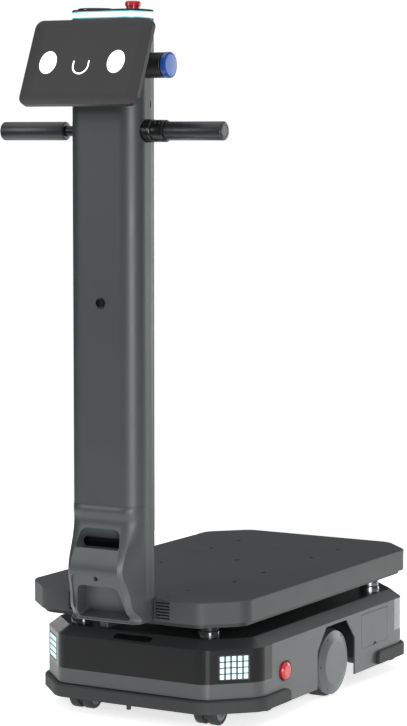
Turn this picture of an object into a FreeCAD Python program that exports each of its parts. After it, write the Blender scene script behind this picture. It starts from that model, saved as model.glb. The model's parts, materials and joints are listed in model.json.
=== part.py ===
import FreeCAD, Part
import math
import os

# Load-carrying mobile robot: a low eight-sided base on two hub-motor wheels and four
# twin-wheel casters, a load platform on four posts, and a column with handles and a screen.
# Millimetres. Seen from the front, +X is to the right. Y points to the rear and Z up.
# The origin is on the floor under the middle of the robot.

V = FreeCAD.Vector
ROOT2 = math.sqrt(2)
far = 2000.0

# ---------------------------------------------------------------- driving dimensions
# base cover
base_width = 474.0
base_length = 764.0
base_front = -297.0
base_rear = base_front + base_length
corner_cut = 80.0
corner_radius = 38.0
shell_wall = 3.0
skirt_low = 29.5
band_low = 59.5
panel_low = 87.5
panel_high = 151.5
deck_top = 168.0
deck_thick = 3.0
shoulder_run = 22.0
rim_width = 3.0
ledge_width = 8.0
seam = 0.3

# deck details and the window in the front shoulder
cap_x = base_width / 2 - 62.0
cap_y = 107.5
cap_radius = 13.0
cap_groove = 0.8
slot_half = 42.5
slot_height = 16.0
window_sink = 1.6
window_thick = 3.0
window_fit = 0.2
duct_x = -79.0
duct_y = base_front + 66.0
duct_width = 21.0
duct_length = 68.0

# glossy end panels and their light matrices
front_wrap = 124.0
rear_wrap = 116.0
panel_thick = 3.0
backing = 3.0
lap = 6.0
shoulder_split = 88.0
light_width = 62.0
light_height = 48.0
light_depth = 2.0
light_shift = 5.0
cell_width = 8.2
cell_height = 9.2
cell_pitch_x = 11.5
cell_pitch_z = 11.3
cell_columns = 5
cell_rows = 4
cell_stand = 0.8

# bumpers
bumper_stand = 8.0
bumper_gap = 0.6
bumper_inner = 1.5
bumper_recess = 8.0
bumper_low = 33.0
bumper_high = 57.5
bumper_bevel = 3.0
bumper_end_radius = 20.0
front_bumper_reach = 186.0
rear_bumper_reach = 201.0
nub_radius = 4.4
nub_low = 24.9
nub_ahead = 3.3
guide_x = 60.0
guide_z = 45.0
guide_radius = 4.0
guide_length = 34.0
guide_fit = 0.08
guide_block = 10.0
sensor_inset = 118.0
sensor_low = 26.0

# drive wheels
wheel_y = base_front + 388.0
wheel_radius = 67.5
tyre_depth = 12.0
tyre_width = 36.0
tyre_outer_x = base_width / 2 - 16.0
rim_wall = 5.0
axle_radius = 8.0
axle_fit = 0.05
stator_gap = 1.5
cover_face_radius = 45.0
cover_radius = 62.5
cover_face_x = base_width / 2 - 1.0
cover_rise = 8.0
cover_screw_ring = 57.5
cover_screw_radius = 3.0
cover_screws = 6
wheel_arch_low = 80.0
wheel_arch_top = 43.0
arch_shoulder_z = 104.5
arch_top_z = 145.5
arch_corner = 5.0
liner_wall = 2.0
liner_inner_x = base_width / 2 - 77.0
liner_half = 84.0

# casters
caster_x = base_width / 2 - 98.5
front_caster_y = base_front + 77.0
rear_caster_y = base_rear - 64.0
caster_radius = 25.0
caster_trail = 13.0
caster_wheel_width = 20.0
caster_web = 7.0
caster_gap = 1.0
caster_axle = 3.0
caster_fit = 0.05
caster_stem = 7.0
caster_plate = 56.0
caster_plate_thick = 3.0
caster_cup_radius = 16.0

# chassis
chassis_low = 62.0
chassis_plate = 4.0
rail_x = base_width / 2 - 119.0
rail_width = 24.0
rail_height = 36.0
rail_wall = 3.0
pedestal_size = 36.0
cross_reach = 110.0
bay_gap = 10.0
battery_length = 140.0
controller_length = 96.0

# posts between base and platform
post_front_x = base_width / 2 - 97.0
post_front_y = base_front + 54.0
post_rear_x = base_width / 2 - 47.0
post_rear_y = base_rear - 138.0
post_foot_radius = 20.5
post_foot_height = 12.5
post_radius = 19.0
post_spigot_radius = 12.0
spigot_fit = 0.5
pedestal_top = deck_top - 10.0

# platform
platform_width = base_width
platform_length = base_length + 42.0
platform_front = base_front - 39.0
platform_rear = platform_front + platform_length
platform_cut = 70.0
platform_radius = 40.0
platform_low = 207.0
platform_top = platform_low + 41.0
platform_skin = 5.0
platform_wall = 4.0
underplate_thick = 8.0
underplate_inset = 10.0
rib_thick = 4.0
rib_height = 22.0
rib_pitch = 150.0
hole_middle_y = base_front + 410.0
hole_spacing_x = 234.0
hole_spacing_outer = 434.0
hole_spacing_inner = 200.0
insert_radius = 5.5
insert_bore = 3.4
insert_length = 12.0
screw_x = 86.0
screw_front_y = base_front - 5.0
screw_rear_y = base_front + 69.0
boss_radius = 9.0
notch_gap = 1.5
grille_inner_x = 80.0
grille_outer_x = 110.5
grille_low = platform_low + 3.5
grille_high = platform_top - 3.5
grille_depth = 10.0
grille_fins = 6

# column
column_width = 150.0
column_depth = 90.0
column_front = base_front - 97.0
column_rear = column_front + column_depth
column_radius = 35.0
column_wall = 3.5
column_split_y = column_front + 49.0
notch_half = column_width / 2 + notch_gap
notch_depth = column_rear + notch_gap - platform_front
column_seam_z = 423.5
column_top = 1309.0
plug_z = column_seam_z + 371.0
plug_radius = 10.0
spine_width = 60.0
spine_wall = 3.0
spine_low = platform_low + 7.0
tie_half = 40.0
tie_low = platform_low + 3.0
tie_height = 24.0
saddle_half = 25.0
saddle_height = 32.0
boss_size = 5.0
boss_x = 18.0
boss_levels = [column_seam_z + 56.5, plug_z - 94.5, plug_z + 125.5, column_top - 139.0]
foot_boss_z = column_seam_z - 18.5
slot_drop = 154.0
slot_shift = 53.0

# column foot
foot_low = platform_low
flare_top = 398.0
flare_z = 304.0
flare_out = 27.5
flare_half = 51.5
crease_half = 58.7
crease_back = 6.0
toe_back = 4.0
toe_half = 60.5
toe_crease_half = 72.7
toe_crease_back = 8.5
foot_wall = 5.0
panel_sink = 3.0
arch_half_low = 60.5
arch_half_high = 51.5
arch_high = 300.5
arch_radius = 19.0
niche_low = 211.0
niche_high = 276.0
niche_half_low = 57.5
niche_half_high = 42.5
niche_radius = 13.0
niche_deep = 30.0
niche_draft = 2.0
foot_lens_z = 290.5
foot_lens_radius = 4.5
lens_pocket = 14.0
brow_reach = 26.0
brow_depth = 10.0
brow_rise = 39.0
brow_drop = 4.3
brow_half_low = 48.8
brow_half_high = 39.0
window_low = 345.5
window_high = 363.0
window_half = 43.5

# handles
handle_y = base_front - 55.7
handle_z = column_top - 202.4
bar_radius = 9.5
grip_radius = 17.0
grip_tip = 236.5
grip_end_wall = 8.0
left_grip_start = column_width / 2 + 24.0
clamp_end = column_width / 2 + 42.7
clamp_radius = 20.0
clamp_base_radius = 20.8
clamp_base_end = column_width / 2 + 16.5
clamp_root = column_width / 2 - 13.0

# blue button on the column's side
button_z = column_top - 84.5
button_y = base_front - 52.0
button_radius = 23.0
button_tube_end = column_width / 2 + 36.0
button_cap_back = button_tube_end + 2.5
button_cap_face = button_cap_back + 10.5
button_stem = 18.0
button_fit = 0.08

# screen
screen_width = 249.6
screen_height = 165.4
screen_radius = 16.0
screen_tilt = 23.1
screen_y = base_front - 145.0
screen_z = column_top - 78.6
glass_thick = 2.0
screen_body = 9.0
display_width = 204.0
display_height = 131.0
display_thick = 3.0
display_rise = 2.0
neck_half = 58.0

# head
band_high = column_top + 12.5
band_wall = 5.0
lid_top = band_high + 3.5
dome_x = -37.0
dome_radius = 32.0
dome_high = lid_top + 3.6
top_stop_x = 43.0
stop_head_radius = 14.0
stop_neck_radius = 12.3
stop_head_low = lid_top + 6.0
stop_head_high = lid_top + 15.5
stop_cup_radius = 15.5

# emergency stops on the sides
side_stop_y = base_front + 175.0
side_stop_z = 91.5
side_cup_length = 50.0
side_cup_height = 40.0
side_cup_depth = 14.0
side_head_radius = 17.0
side_head_face = base_width / 2 + 6.0
side_head_back = base_width / 2 - 5.0
side_stem_radius = 8.0
stem_fit = 0.08

# service flap and niche on the right side
flap_y = wheel_y + 168.0
flap_z = 109.0
flap_length = 118.0
flap_height = 69.0
flap_radius = 5.0
flap_top_radius = 1.6
flap_gap = 0.6
flap_thick = 6.0
flap_skin = 1.0
knuckle_radius = 1.7
knuckle_length = 5.0
knuckle_spacing = 70.0
hinge_pin = 0.8
hinge_fit = 0.06
niche_depth = 22.0
power_radius = 8.0
power_fit = 0.08
power_offset = 32.0
niche_wall = 2.5
niche_flange = 5.0


# ---------------------------------------------------------------- shared shapes
def outline(points, radii, plane, level):
    """Closed wire through points in a plane, with each corner rounded to its radius."""
    place = {
        "xy": lambda a, b: V(a, b, level),
        "yz": lambda a, b: V(level, a, b),
        "xz": lambda a, b: V(a, level, b),
    }[plane]
    count = len(points)
    if not isinstance(radii, (list, tuple)):
        radii = [radii] * count
    stops = []
    for i in range(count):
        p = V(points[i][0], points[i][1], 0)
        back = V(points[i - 1][0], points[i - 1][1], 0) - p
        ahead = V(points[(i + 1) % count][0], points[(i + 1) % count][1], 0) - p
        if radii[i] <= 0:
            stops.append((p, None, p))
            continue
        half = back.getAngle(ahead) / 2
        run = radii[i] / math.tan(half)
        run = min(run, 0.49 * back.Length, 0.49 * ahead.Length)
        radius = run * math.tan(half)
        back.normalize()
        ahead.normalize()
        bisector = back + ahead
        bisector.normalize()
        middle = p + bisector * (radius / math.sin(half) - radius)
        stops.append((p + back * run, middle, p + ahead * run))
    edges = []
    for i in range(count):
        start, middle, end = stops[i]
        following = stops[(i + 1) % count][0]
        if middle is not None:
            edges.append(Part.Arc(place(start.x, start.y), place(middle.x, middle.y),
                                  place(end.x, end.y)).toShape())
        if (following - end).Length > 1e-6:
            edges.append(Part.LineSegment(place(end.x, end.y),
                                          place(following.x, following.y)).toShape())
    return Part.Wire(edges)


def slab(points, radii, low, high, plane="xy"):
    """Prism of a rounded outline between two levels of the plane's normal."""
    along = {"xy": V(0, 0, 1), "yz": V(1, 0, 0), "xz": V(0, 1, 0)}[plane]
    return Part.Face(outline(points, radii, plane, low)).extrude(along * (high - low))


def frustum(points_low, radius_low, low, points_high, radius_high, high):
    """Solid between two outlines with the same corners at two heights."""
    wires = [outline(points_low, radius_low, "xy", low),
             outline(points_high, radius_high, "xy", high)]
    return Part.makeLoft(wires, True, True)


def rectangle(centre_a, centre_b, length_a, length_b):
    """Corners of a rectangle about a centre."""
    a, b = length_a / 2, length_b / 2
    return [(centre_a - a, centre_b - b), (centre_a + a, centre_b - b),
            (centre_a + a, centre_b + b), (centre_a - a, centre_b + b)]


def block(x0, x1, y0, y1, z0, z1):
    """Box between two corners."""
    return Part.makeBox(x1 - x0, y1 - y0, z1 - z0, V(x0, y0, z0))


def rod(radius, start, end):
    """Round bar between two points."""
    axis = end - start
    return Part.makeCylinder(radius, axis.Length, start, axis)


def turned(profile, axis_point, axis):
    """Solid of revolution. The profile is (distance along the axis, radius) pairs."""
    points = [V(r, 0, a) for a, r in profile]
    face = Part.Face(Part.makePolygon(points + [points[0]]))
    solid = face.revolve(V(0, 0, 0), V(0, 0, 1), 360)
    solid.Placement = FreeCAD.Placement(axis_point, FreeCAD.Rotation(V(0, 0, 1), axis))
    return solid


def fused(shapes):
    """One solid from several that touch or overlap."""
    return shapes[0].multiFuse(shapes[1:]).removeSplitter()


def mirrored(shape):
    """Copy on the other side of the robot's middle plane."""
    return shape.mirror(V(0, 0, 0), V(1, 0, 0))


def group(shapes):
    """Separate solids in one piece of the list."""
    return Part.makeCompound(shapes)


# ---------------------------------------------------------------- plans
def eight_sided(half, front, rear, cut):
    """Plan with four cut corners, anticlockwise from the front right."""
    return [(half - cut, front), (half, front + cut), (half, rear - cut), (half - cut, rear),
            (cut - half, rear), (-half, rear - cut), (-half, front + cut), (cut - half, front)]


def base_plan(inset, end_shift=0.0):
    """Base outline moved in by an inset, with its ends moved in further by a shift."""
    return eight_sided(base_width / 2 - inset, base_front + inset + end_shift,
                       base_rear - inset - end_shift, corner_cut - inset * (2 - ROOT2))


def base_radius(inset):
    """Corner radius that keeps the inset outline parallel to the outer one."""
    return max(corner_radius - inset, 6.0)


def platform_plan(inset):
    """Platform outline moved in by an inset."""
    return eight_sided(platform_width / 2 - inset, platform_front + inset,
                       platform_rear - inset, platform_cut - inset * (2 - ROOT2))


def base_slab(inset, low, high, end_shift=0.0):
    """Prism on the base's plan."""
    return slab(base_plan(inset, end_shift), base_radius(inset), low, high)


def column_plan(inset):
    """Column outline moved in by an inset."""
    return rectangle(0, column_front + column_depth / 2,
                     column_width - 2 * inset, column_depth - 2 * inset)


def column_slab(inset, low, high):
    """Prism on the column's plan."""
    return slab(column_plan(inset), column_radius - inset, low, high)


def ahead_of(shape, y):
    """Part of a shape ahead of a plane."""
    return shape.common(block(-far, far, -far, y, -far, far))


def behind(shape, y):
    """Part of a shape behind a plane."""
    return shape.common(block(-far, far, y, far, -far, far))


def ends(shape, front_reach, rear_reach):
    """Parts of a shape within a distance of the base's front and of its rear."""
    return [ahead_of(shape, base_front + front_reach), behind(shape, base_rear - rear_reach)]


# ---------------------------------------------------------------- base covers
rim_inset = shoulder_run + rim_width
ledge_inset = rim_inset + ledge_width
ledge_z = deck_top - 2 * deck_thick


def shoulder_hollow():
    """Space under the sloping shoulder, up through the deck opening."""
    start = panel_high - 2.0
    slope = frustum(base_plan(shell_wall), base_radius(shell_wall), start,
                    base_plan(ledge_inset), base_radius(ledge_inset), ledge_z)
    return slope.fuse(base_slab(ledge_inset, ledge_z, deck_top + 1))


def shoulder_block():
    """Sloping shoulder between the wall and the deck."""
    return frustum(base_plan(0), base_radius(0), panel_high,
                   base_plan(shoulder_run), base_radius(shoulder_run), deck_top)


def arch_cut(x0, x1):
    """Wheel arch opening: upright sides under sloping top corners."""
    points = [(wheel_y - wheel_arch_low, skirt_low - 5), (wheel_y + wheel_arch_low, skirt_low - 5),
              (wheel_y + wheel_arch_low, arch_shoulder_z), (wheel_y + wheel_arch_top, arch_top_z),
              (wheel_y - wheel_arch_top, arch_top_z), (wheel_y - wheel_arch_low, arch_shoulder_z)]
    return slab(points, [0, 0] + [arch_corner] * 4, x0, x1, "yz")


def flap_opening(x0, x1, grow=0.0):
    """Rounded rectangle of the service opening, grown all round."""
    low, top = flap_radius + grow, flap_top_radius + grow
    return slab(rectangle(flap_y, flap_z, flap_length + 2 * grow, flap_height + 2 * grow),
                [low, low, top, top], x0, x1, "yz")


def cup_opening(x0, x1, grow=0.0):
    """Round-ended opening for a side emergency stop, grown all round."""
    return slab(rectangle(side_stop_y, side_stop_z, side_cup_length + 2 * grow,
                          side_cup_height + 2 * grow),
                side_cup_height / 2 + grow - 0.05, x0, x1, "yz")


def guide_points():
    """Middles of the bumper guide bars as (x, end sign)."""
    return [(x, end) for x in (-guide_x, guide_x) for end in (-1, 1)]


def skirt_face(end):
    """Y of the skirt's outer face at the front (-1) or rear (1)."""
    return base_front + bumper_recess if end < 0 else base_rear - bumper_recess


def make_base_shell():
    side = base_width / 2
    outer = fused([base_slab(0, skirt_low, band_low, bumper_recess),
                   base_slab(0, band_low, panel_high), shoulder_block()])
    hollow = [base_slab(shell_wall, skirt_low - 1, band_low + shell_wall, bumper_recess),
              base_slab(shell_wall, band_low + shell_wall, panel_high - 2.0), shoulder_hollow()]
    shell = outer.cut(hollow)
    shell = shell.cut(base_slab(rim_inset - seam, deck_top - deck_thick, deck_top + 1))
    shoulder = ahead_of(base_slab(-1, panel_high, deck_top + 1), base_front + shoulder_split)
    skin = base_slab(-1, panel_low, panel_high).cut(base_slab(panel_thick, panel_low, panel_high))
    shell = shell.cut([shoulder] + ends(skin, front_wrap, rear_wrap))
    ring = base_slab(panel_thick, panel_low - lap, panel_high).cut(
        base_slab(panel_thick + backing, panel_low - lap, panel_high))
    shell = fused([shell] + ends(ring, front_wrap + lap, rear_wrap + lap))
    openings = [arch_cut(side - 30, side + 5), arch_cut(-side - 5, -side + 30),
                flap_opening(side - 10, side + 5),
                cup_opening(side - 10, side + 5), cup_opening(-side - 5, -side + 10)]
    for x, end in guide_points():
        face = skirt_face(end)
        openings.append(rod(guide_radius + guide_fit, V(x, face - 8, guide_z),
                            V(x, face + 8, guide_z)))
    return shell.cut(openings)


def make_deck_cover():
    slope = shoulder_block().cut(shoulder_hollow())
    front = ahead_of(slope, base_front + shoulder_split - seam)
    plate = base_slab(rim_inset, deck_top - deck_thick, deck_top)
    cover = fused([plate, front])
    cuts = [rod(post_spigot_radius + spigot_fit, V(x, y, deck_top - 10), V(x, y, deck_top + 1))
            for x, y in post_points()]
    for s in (-1, 1):
        middle = V(s * cap_x, base_front + cap_y, deck_top)
        ring = rod(cap_radius, middle - V(0, 0, cap_groove), middle + V(0, 0, 1))
        cuts.append(ring.cut(rod(cap_radius - cap_groove, middle - V(0, 0, 5),
                                 middle + V(0, 0, 5))))
    return cover.cut(cuts + [on_bevel(bevel_slot(0.0, 12.0, 12.0))])


def bevel_slot(shrink, below, above):
    """Round-ended bar across the bevel, in the bevel's own frame (Z is its outward normal)."""
    points = rectangle(0, 0, 2 * (slot_half - shrink), slot_height - 2 * shrink)
    return slab(points, slot_height / 2 - shrink - 0.05, -below, above)


def on_bevel(shape):
    """Move a shape from the front bevel's own frame to its place."""
    middle = V(0, base_front + shoulder_run / 2, (panel_high + deck_top) / 2)
    slope = 90 - math.degrees(math.atan2(shoulder_run, deck_top - panel_high))
    moved = shape.copy()
    moved.Placement = FreeCAD.Placement(middle, FreeCAD.Rotation(V(1, 0, 0), slope))
    return moved


def make_front_camera():
    """Dark window in the front shoulder, with a stereo camera bar behind it."""
    back = -(window_sink + window_thick)
    window = bevel_slot(window_fit, -back, -window_sink)
    bar = Part.makeBox(70, 8, 6, V(-35, -4, back - 6))
    return on_bevel(fused([window, bar]))


def make_panel(front_end):
    ring = base_slab(0, panel_low, panel_high).cut(base_slab(panel_thick, panel_low, panel_high))
    panels = ends(ring, front_wrap, rear_wrap)
    panel = panels[0] if front_end else panels[1]
    pocket = Part.makeBox(light_width + 2 * window_fit, light_depth + 1,
                          light_height + 2 * window_fit,
                          V(-light_width / 2 - window_fit, -1, -light_height / 2 - window_fit))
    return panel.cut([on_corner(pocket, s, front_end) for s in (-1, 1)])


def on_corner(shape, side_sign, front_end):
    """Move a shape that faces -Y onto the middle of one cut corner."""
    turn = 45.0 if front_end else 135.0
    x = side_sign * (base_width - corner_cut) / 2
    y = base_front + corner_cut / 2 if front_end else base_rear - corner_cut / 2
    shift = light_shift if front_end else -light_shift
    moved = shape.copy()
    moved.translate(V(side_sign * shift, 0, 0))
    moved.rotate(V(0, 0, 0), V(0, 0, 1), side_sign * turn)
    moved.translate(V(x, y, (panel_low + panel_high) / 2 - 2))
    return moved


def make_lights(front_end):
    board = Part.makeBox(light_width, light_depth - cell_stand, light_height,
                         V(-light_width / 2, cell_stand, -light_height / 2))
    cells = []
    for column in range(cell_columns):
        for row in range(cell_rows):
            x = (column - (cell_columns - 1) / 2) * cell_pitch_x
            z = (row - (cell_rows - 1) / 2) * cell_pitch_z
            cells.append(Part.makeBox(cell_width, cell_stand, cell_height,
                                      V(x - cell_width / 2, 0, z - cell_height / 2)))
    matrix = fused([board] + cells)
    return [on_corner(matrix, s, front_end) for s in (-1, 1)]


# ---------------------------------------------------------------- bumpers
def make_bumper(end):
    """Bumper strip round one end. end is -1 at the front and 1 at the rear."""
    outer = fused([base_slab(-bumper_stand, bumper_low, bumper_high - bumper_bevel),
                   frustum(base_plan(-bumper_stand), base_radius(-bumper_stand),
                           bumper_high - bumper_bevel, base_plan(bumper_bevel - bumper_stand),
                           base_radius(bumper_bevel - bumper_stand), bumper_high)])
    ring = outer.cut(base_slab(-bumper_gap, bumper_low - 1, bumper_high + 1,
                               bumper_inner + bumper_gap))
    tip = base_front - bumper_stand - 5 if end < 0 else base_rear + bumper_stand + 5
    stop = base_front + front_bumper_reach if end < 0 else base_rear - rear_bumper_reach
    side = [(tip, bumper_low), (stop, bumper_low), (stop, bumper_high), (tip, bumper_high)]
    keep = slab(side, [0, 0, bumper_end_radius, 0], -base_width, base_width, "yz")
    inner = base_front + bumper_inner if end < 0 else base_rear - bumper_inner
    bars = [rod(guide_radius, V(x, inner + end, guide_z),
                V(x, inner - end * guide_length, guide_z)) for x in (-guide_x, guide_x)]
    if end < 0:
        bars.append(turned([(0, 0), (0, nub_radius - 1), (1, nub_radius),
                            (bumper_low + 1 - nub_low, nub_radius), (bumper_low + 1 - nub_low, 0)],
                           V(0, base_front - nub_ahead, nub_low), V(0, 0, 1)))
    return fused([ring.common(keep)] + bars)


# ---------------------------------------------------------------- chassis
def post_points():
    """Middles of the four posts."""
    return [(-post_front_x, post_front_y), (post_front_x, post_front_y),
            (-post_rear_x, post_rear_y), (post_rear_x, post_rear_y)]


def caster_points():
    """Swivel axes of the casters."""
    return {"front_left": (-caster_x, front_caster_y),
            "front_right": (caster_x, front_caster_y),
            "rear_left": (-caster_x, rear_caster_y), "rear_right": (caster_x, rear_caster_y)}


def make_chassis():
    top = chassis_low + chassis_plate
    plate = base_slab(shell_wall, chassis_low, top, bumper_recess)
    wells = [block(s * liner_inner_x if s > 0 else -300, 300 if s > 0 else s * liner_inner_x,
                   wheel_y - liner_half, wheel_y + liner_half, chassis_low - 1, top + 1)
             for s in (-1, 1)]
    reach = liner_inner_x + 1
    slots = [block(-reach, reach, wheel_y - axle_radius - 2, wheel_y + axle_radius + 2,
                   chassis_low - 1, top + 1).cut(block(-rail_x, rail_x, -500, 500, 0, 200))]
    plate = plate.cut(wells + slots)
    front, rear = base_front + 40, base_rear - 40
    parts = [plate]
    for s in (-1, 1):
        rail = block(s * rail_x - rail_width / 2, s * rail_x + rail_width / 2, front, rear,
                     top, top + rail_height)
        bore = block(s * rail_x - rail_width / 2 + rail_wall,
                     s * rail_x + rail_width / 2 - rail_wall, front - 1, rear + 1,
                     top + rail_wall, top + rail_height - rail_wall)
        parts.append(rail.cut(bore))
        parts.append(motor_bracket(s))
    for y in (front, wheel_y - cross_reach - rail_width, wheel_y + cross_reach,
              rear - rail_width):
        parts.append(block(-rail_x, rail_x, y, y + rail_width, top, top + rail_height / 2))
    for x, y in post_points():
        half = pedestal_size / 2
        parts.append(slab(rectangle(x, y, pedestal_size, pedestal_size), 6, top, pedestal_top))
    for x, end in guide_points():
        face = skirt_face(end) - end * (shell_wall + 8)
        low_y, high_y = sorted((face, face - end * guide_block))
        tab = block(x - 10, x + 10, low_y, high_y, guide_z - 9, chassis_low)
        parts.append(tab.cut(rod(guide_radius + guide_fit, V(x, face - 20, guide_z),
                                 V(x, face + 20, guide_z))))
    frame = fused(parts)
    bolts = [rod(caster_stem + 1, V(x, y, chassis_low - 1), V(x, y, top + rail_height + 1))
             for x, y in caster_points().values()]
    return frame.cut(bolts)


def motor_bracket(s):
    """Upright plate that carries one hub motor's axle, with a foot on the rail."""
    inner = liner_inner_x - 12
    x0, x1 = sorted((s * inner, s * (inner + 8)))
    top = chassis_low + chassis_plate
    upright = block(x0, x1, wheel_y - 45, wheel_y + 45, top, top + 52)
    lower = block(x0, x1, wheel_y - 30, wheel_y + 30, wheel_radius - 22, top)
    reach0, reach1 = sorted((s * (rail_x + rail_width / 2), s * inner))
    gussets = [block(reach0, reach1, wheel_y + y - 4, wheel_y + y + 4, top, top + rail_height)
               for y in (-36, 36)]
    bore = rod(axle_radius, V(-300, wheel_y, wheel_radius), V(300, wheel_y, wheel_radius))
    return fused([upright, lower] + gussets).cut(bore)


def make_wheel_liners():
    """Two boxes round the wheels, open outwards and downwards."""
    outer_x = base_width / 2 - shell_wall
    high = arch_top_z + 4
    box = block(liner_inner_x, outer_x, wheel_y - liner_half, wheel_y + liner_half,
                chassis_low + chassis_plate, high)
    space = block(liner_inner_x + liner_wall, outer_x + 1, wheel_y - liner_half + liner_wall,
                  wheel_y + liner_half - liner_wall, chassis_low, high - liner_wall)
    slot = rod(axle_radius + 6, V(liner_inner_x - 5, wheel_y, wheel_radius),
               V(liner_inner_x + 20, wheel_y, wheel_radius))
    below = block(liner_inner_x - 1, liner_inner_x + 20, wheel_y - 31, wheel_y + 31,
                  chassis_low, wheel_radius + 2)
    liner = box.cut([space, slot, below])
    return group([liner, mirrored(liner)])


# ---------------------------------------------------------------- drive wheels
tyre_inner_x = tyre_outer_x - tyre_width
rim_radius = wheel_radius - tyre_depth


def wheel_axis(x):
    """Point on the right-hand wheel's axis."""
    return V(x, wheel_y, wheel_radius)


def make_tyre():
    edge = 7.0
    ring = turned([(0, rim_radius), (tyre_width, rim_radius),
                   (tyre_width, wheel_radius - edge), (tyre_width - edge / 2, wheel_radius - 2),
                   (tyre_width - edge, wheel_radius), (edge, wheel_radius),
                   (edge / 2, wheel_radius - 2), (0, wheel_radius - edge)],
                  wheel_axis(tyre_inner_x), V(1, 0, 0))
    grooves = [turned([(a - 1, wheel_radius - 1.5), (a + 1, wheel_radius - 1.5),
                       (a + 1, wheel_radius + 1), (a - 1, wheel_radius + 1)],
                      wheel_axis(tyre_inner_x), V(1, 0, 0)) for a in (12, 18, 24)]
    return ring.cut(grooves)


def make_rim():
    """Hub-motor rotor: a drum that is open inwards, on a bearing boss."""
    bore = axle_radius + axle_fit
    inner = rim_radius - rim_wall
    face = tyre_width - 7.0
    return turned([(0, inner), (0, rim_radius), (tyre_width, rim_radius),
                   (tyre_width, inner), (tyre_width - 3, inner), (tyre_width - 3, 20),
                   (tyre_width - 1, 20), (tyre_width - 1, bore), (face - 5, bore),
                   (face - 5, 18), (face, 18), (face, inner)],
                  wheel_axis(tyre_inner_x), V(1, 0, 0))


def make_hub_motor():
    """Stator with its axle stub, fixed to the bracket."""
    face = tyre_width - 7.0
    inner = rim_radius - rim_wall - stator_gap
    start = liner_inner_x - 22 - tyre_inner_x
    return turned([(start, 0), (start, axle_radius), (0, axle_radius), (0, 22), (2, 22),
                   (2, inner), (face - 8, inner), (face - 8, 15), (face - 6, 15),
                   (face - 6, axle_radius), (tyre_width - 2, axle_radius), (tyre_width - 2, 0)],
                  wheel_axis(tyre_inner_x), V(1, 0, 0))


def make_wheel_cover():
    """Domed cover: a flat face, a sloping flank with screws, and a fixing ring."""
    depth = cover_face_x - cover_rise
    profile = [(tyre_outer_x, 30), (tyre_outer_x, cover_radius), (depth + 1.5, cover_radius),
               (cover_face_x - 1, cover_face_radius + 2), (cover_face_x, cover_face_radius - 2),
               (cover_face_x, 0), (cover_face_x - 3, 0), (cover_face_x - 3, 30)]
    cover = turned([(a - tyre_outer_x, r) for a, r in profile], wheel_axis(tyre_outer_x),
                   V(1, 0, 0))
    screws = []
    for i in range(cover_screws):
        angle = 2 * math.pi * i / cover_screws
        y = wheel_y + cover_screw_ring * math.cos(angle)
        z = wheel_radius + cover_screw_ring * math.sin(angle)
        screws.append(rod(cover_screw_radius, V(depth + 2.5, y, z), V(depth + 10, y, z)))
    return cover.cut(screws)


# ---------------------------------------------------------------- casters
def make_caster_mount(x, y):
    """Bolted plate with the swivel bearing cup under it."""
    plate = slab(rectangle(x, y, caster_plate, caster_plate), 6,
                 chassis_low - caster_plate_thick, chassis_low)
    return plate.cut(rod(caster_stem + caster_fit, V(x, y, chassis_low - 10),
                         V(x, y, chassis_low + 1)))


def make_caster_fork(x, y):
    """Swivelling cup with the stem, a trailing web and the axle."""
    high = chassis_low - caster_plate_thick - 0.5
    cup_low = 2 * caster_radius + 1.5
    cup = rod(caster_cup_radius, V(x, y, cup_low), V(x, y, high))
    stem = rod(caster_stem, V(x, y, high - 1), V(x, y, chassis_low + chassis_plate + 4))
    axle_y = y - caster_trail
    web = slab([(y - 13, cup_low + 1), (y + 10, cup_low + 1),
                (axle_y + 7, caster_radius - 6), (axle_y - 7, caster_radius - 6)],
               3, x - caster_web / 2, x + caster_web / 2, "yz")
    reach = caster_web / 2 + caster_gap + caster_wheel_width
    axle = rod(caster_axle, V(x - reach + 2, axle_y, caster_radius),
               V(x + reach - 2, axle_y, caster_radius))
    return fused([cup, stem, web, axle])


def make_caster_wheel(x, y, side):
    """One of the twin wheels. side is -1 or +1 in X."""
    start = V(x + side * (caster_web / 2 + caster_gap), y - caster_trail, caster_radius)
    width = caster_wheel_width
    bore = caster_axle + caster_fit
    return turned([(0, bore), (0, caster_radius - 2), (2, caster_radius),
                   (width - 5, caster_radius), (width - 2, caster_radius - 2),
                   (width - 1.5, caster_radius - 5), (width, caster_radius - 9), (width, 0),
                   (width - 1.5, 0), (width - 1.5, bore)], start, V(side, 0, 0))


# ---------------------------------------------------------------- inside the base
def make_battery():
    top = chassis_low + chassis_plate
    half = rail_x - rail_width / 2 - 4
    middle = wheel_y + cross_reach + rail_width + bay_gap + battery_length / 2
    case = slab(rectangle(0, middle, 2 * half, battery_length), 8, top, top + 72)
    grip = block(-40, 40, middle - 8, middle + 8, top + 72, top + 88)
    return fused([case, grip.cut(block(-32, 32, middle - 9, middle + 9, top + 72, top + 83))])


def make_controller():
    top = chassis_low + chassis_plate
    middle = wheel_y - cross_reach - rail_width - bay_gap - controller_length / 2
    case = slab(rectangle(0, middle, 180, controller_length), 5, top, top + 46)
    fins = [block(-86 + 12 * i, -82 + 12 * i, middle - 40, middle + 40, top + 46, top + 58)
            for i in range(15)]
    return fused([case] + fins)


# ---------------------------------------------------------------- platform
def hole_points():
    """Threaded holes: two rectangles of four and one in the middle."""
    points = [(0.0, hole_middle_y)]
    for spacing in (hole_spacing_inner, hole_spacing_outer):
        for sx in (-0.5, 0.5):
            for sy in (-0.5, 0.5):
                points.append((sx * hole_spacing_x, hole_middle_y + sy * spacing))
    return points


def platform_notch(grow=0.0):
    """Space that the column stands in at the platform's front edge."""
    return column_slab(-notch_gap - grow, platform_low - 20, platform_top + 1)


def bracket_screws():
    """Screws through the platform's top into the column bracket."""
    return [(s * screw_x, y) for s in (-1, 1) for y in (screw_front_y, screw_rear_y)]


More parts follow.
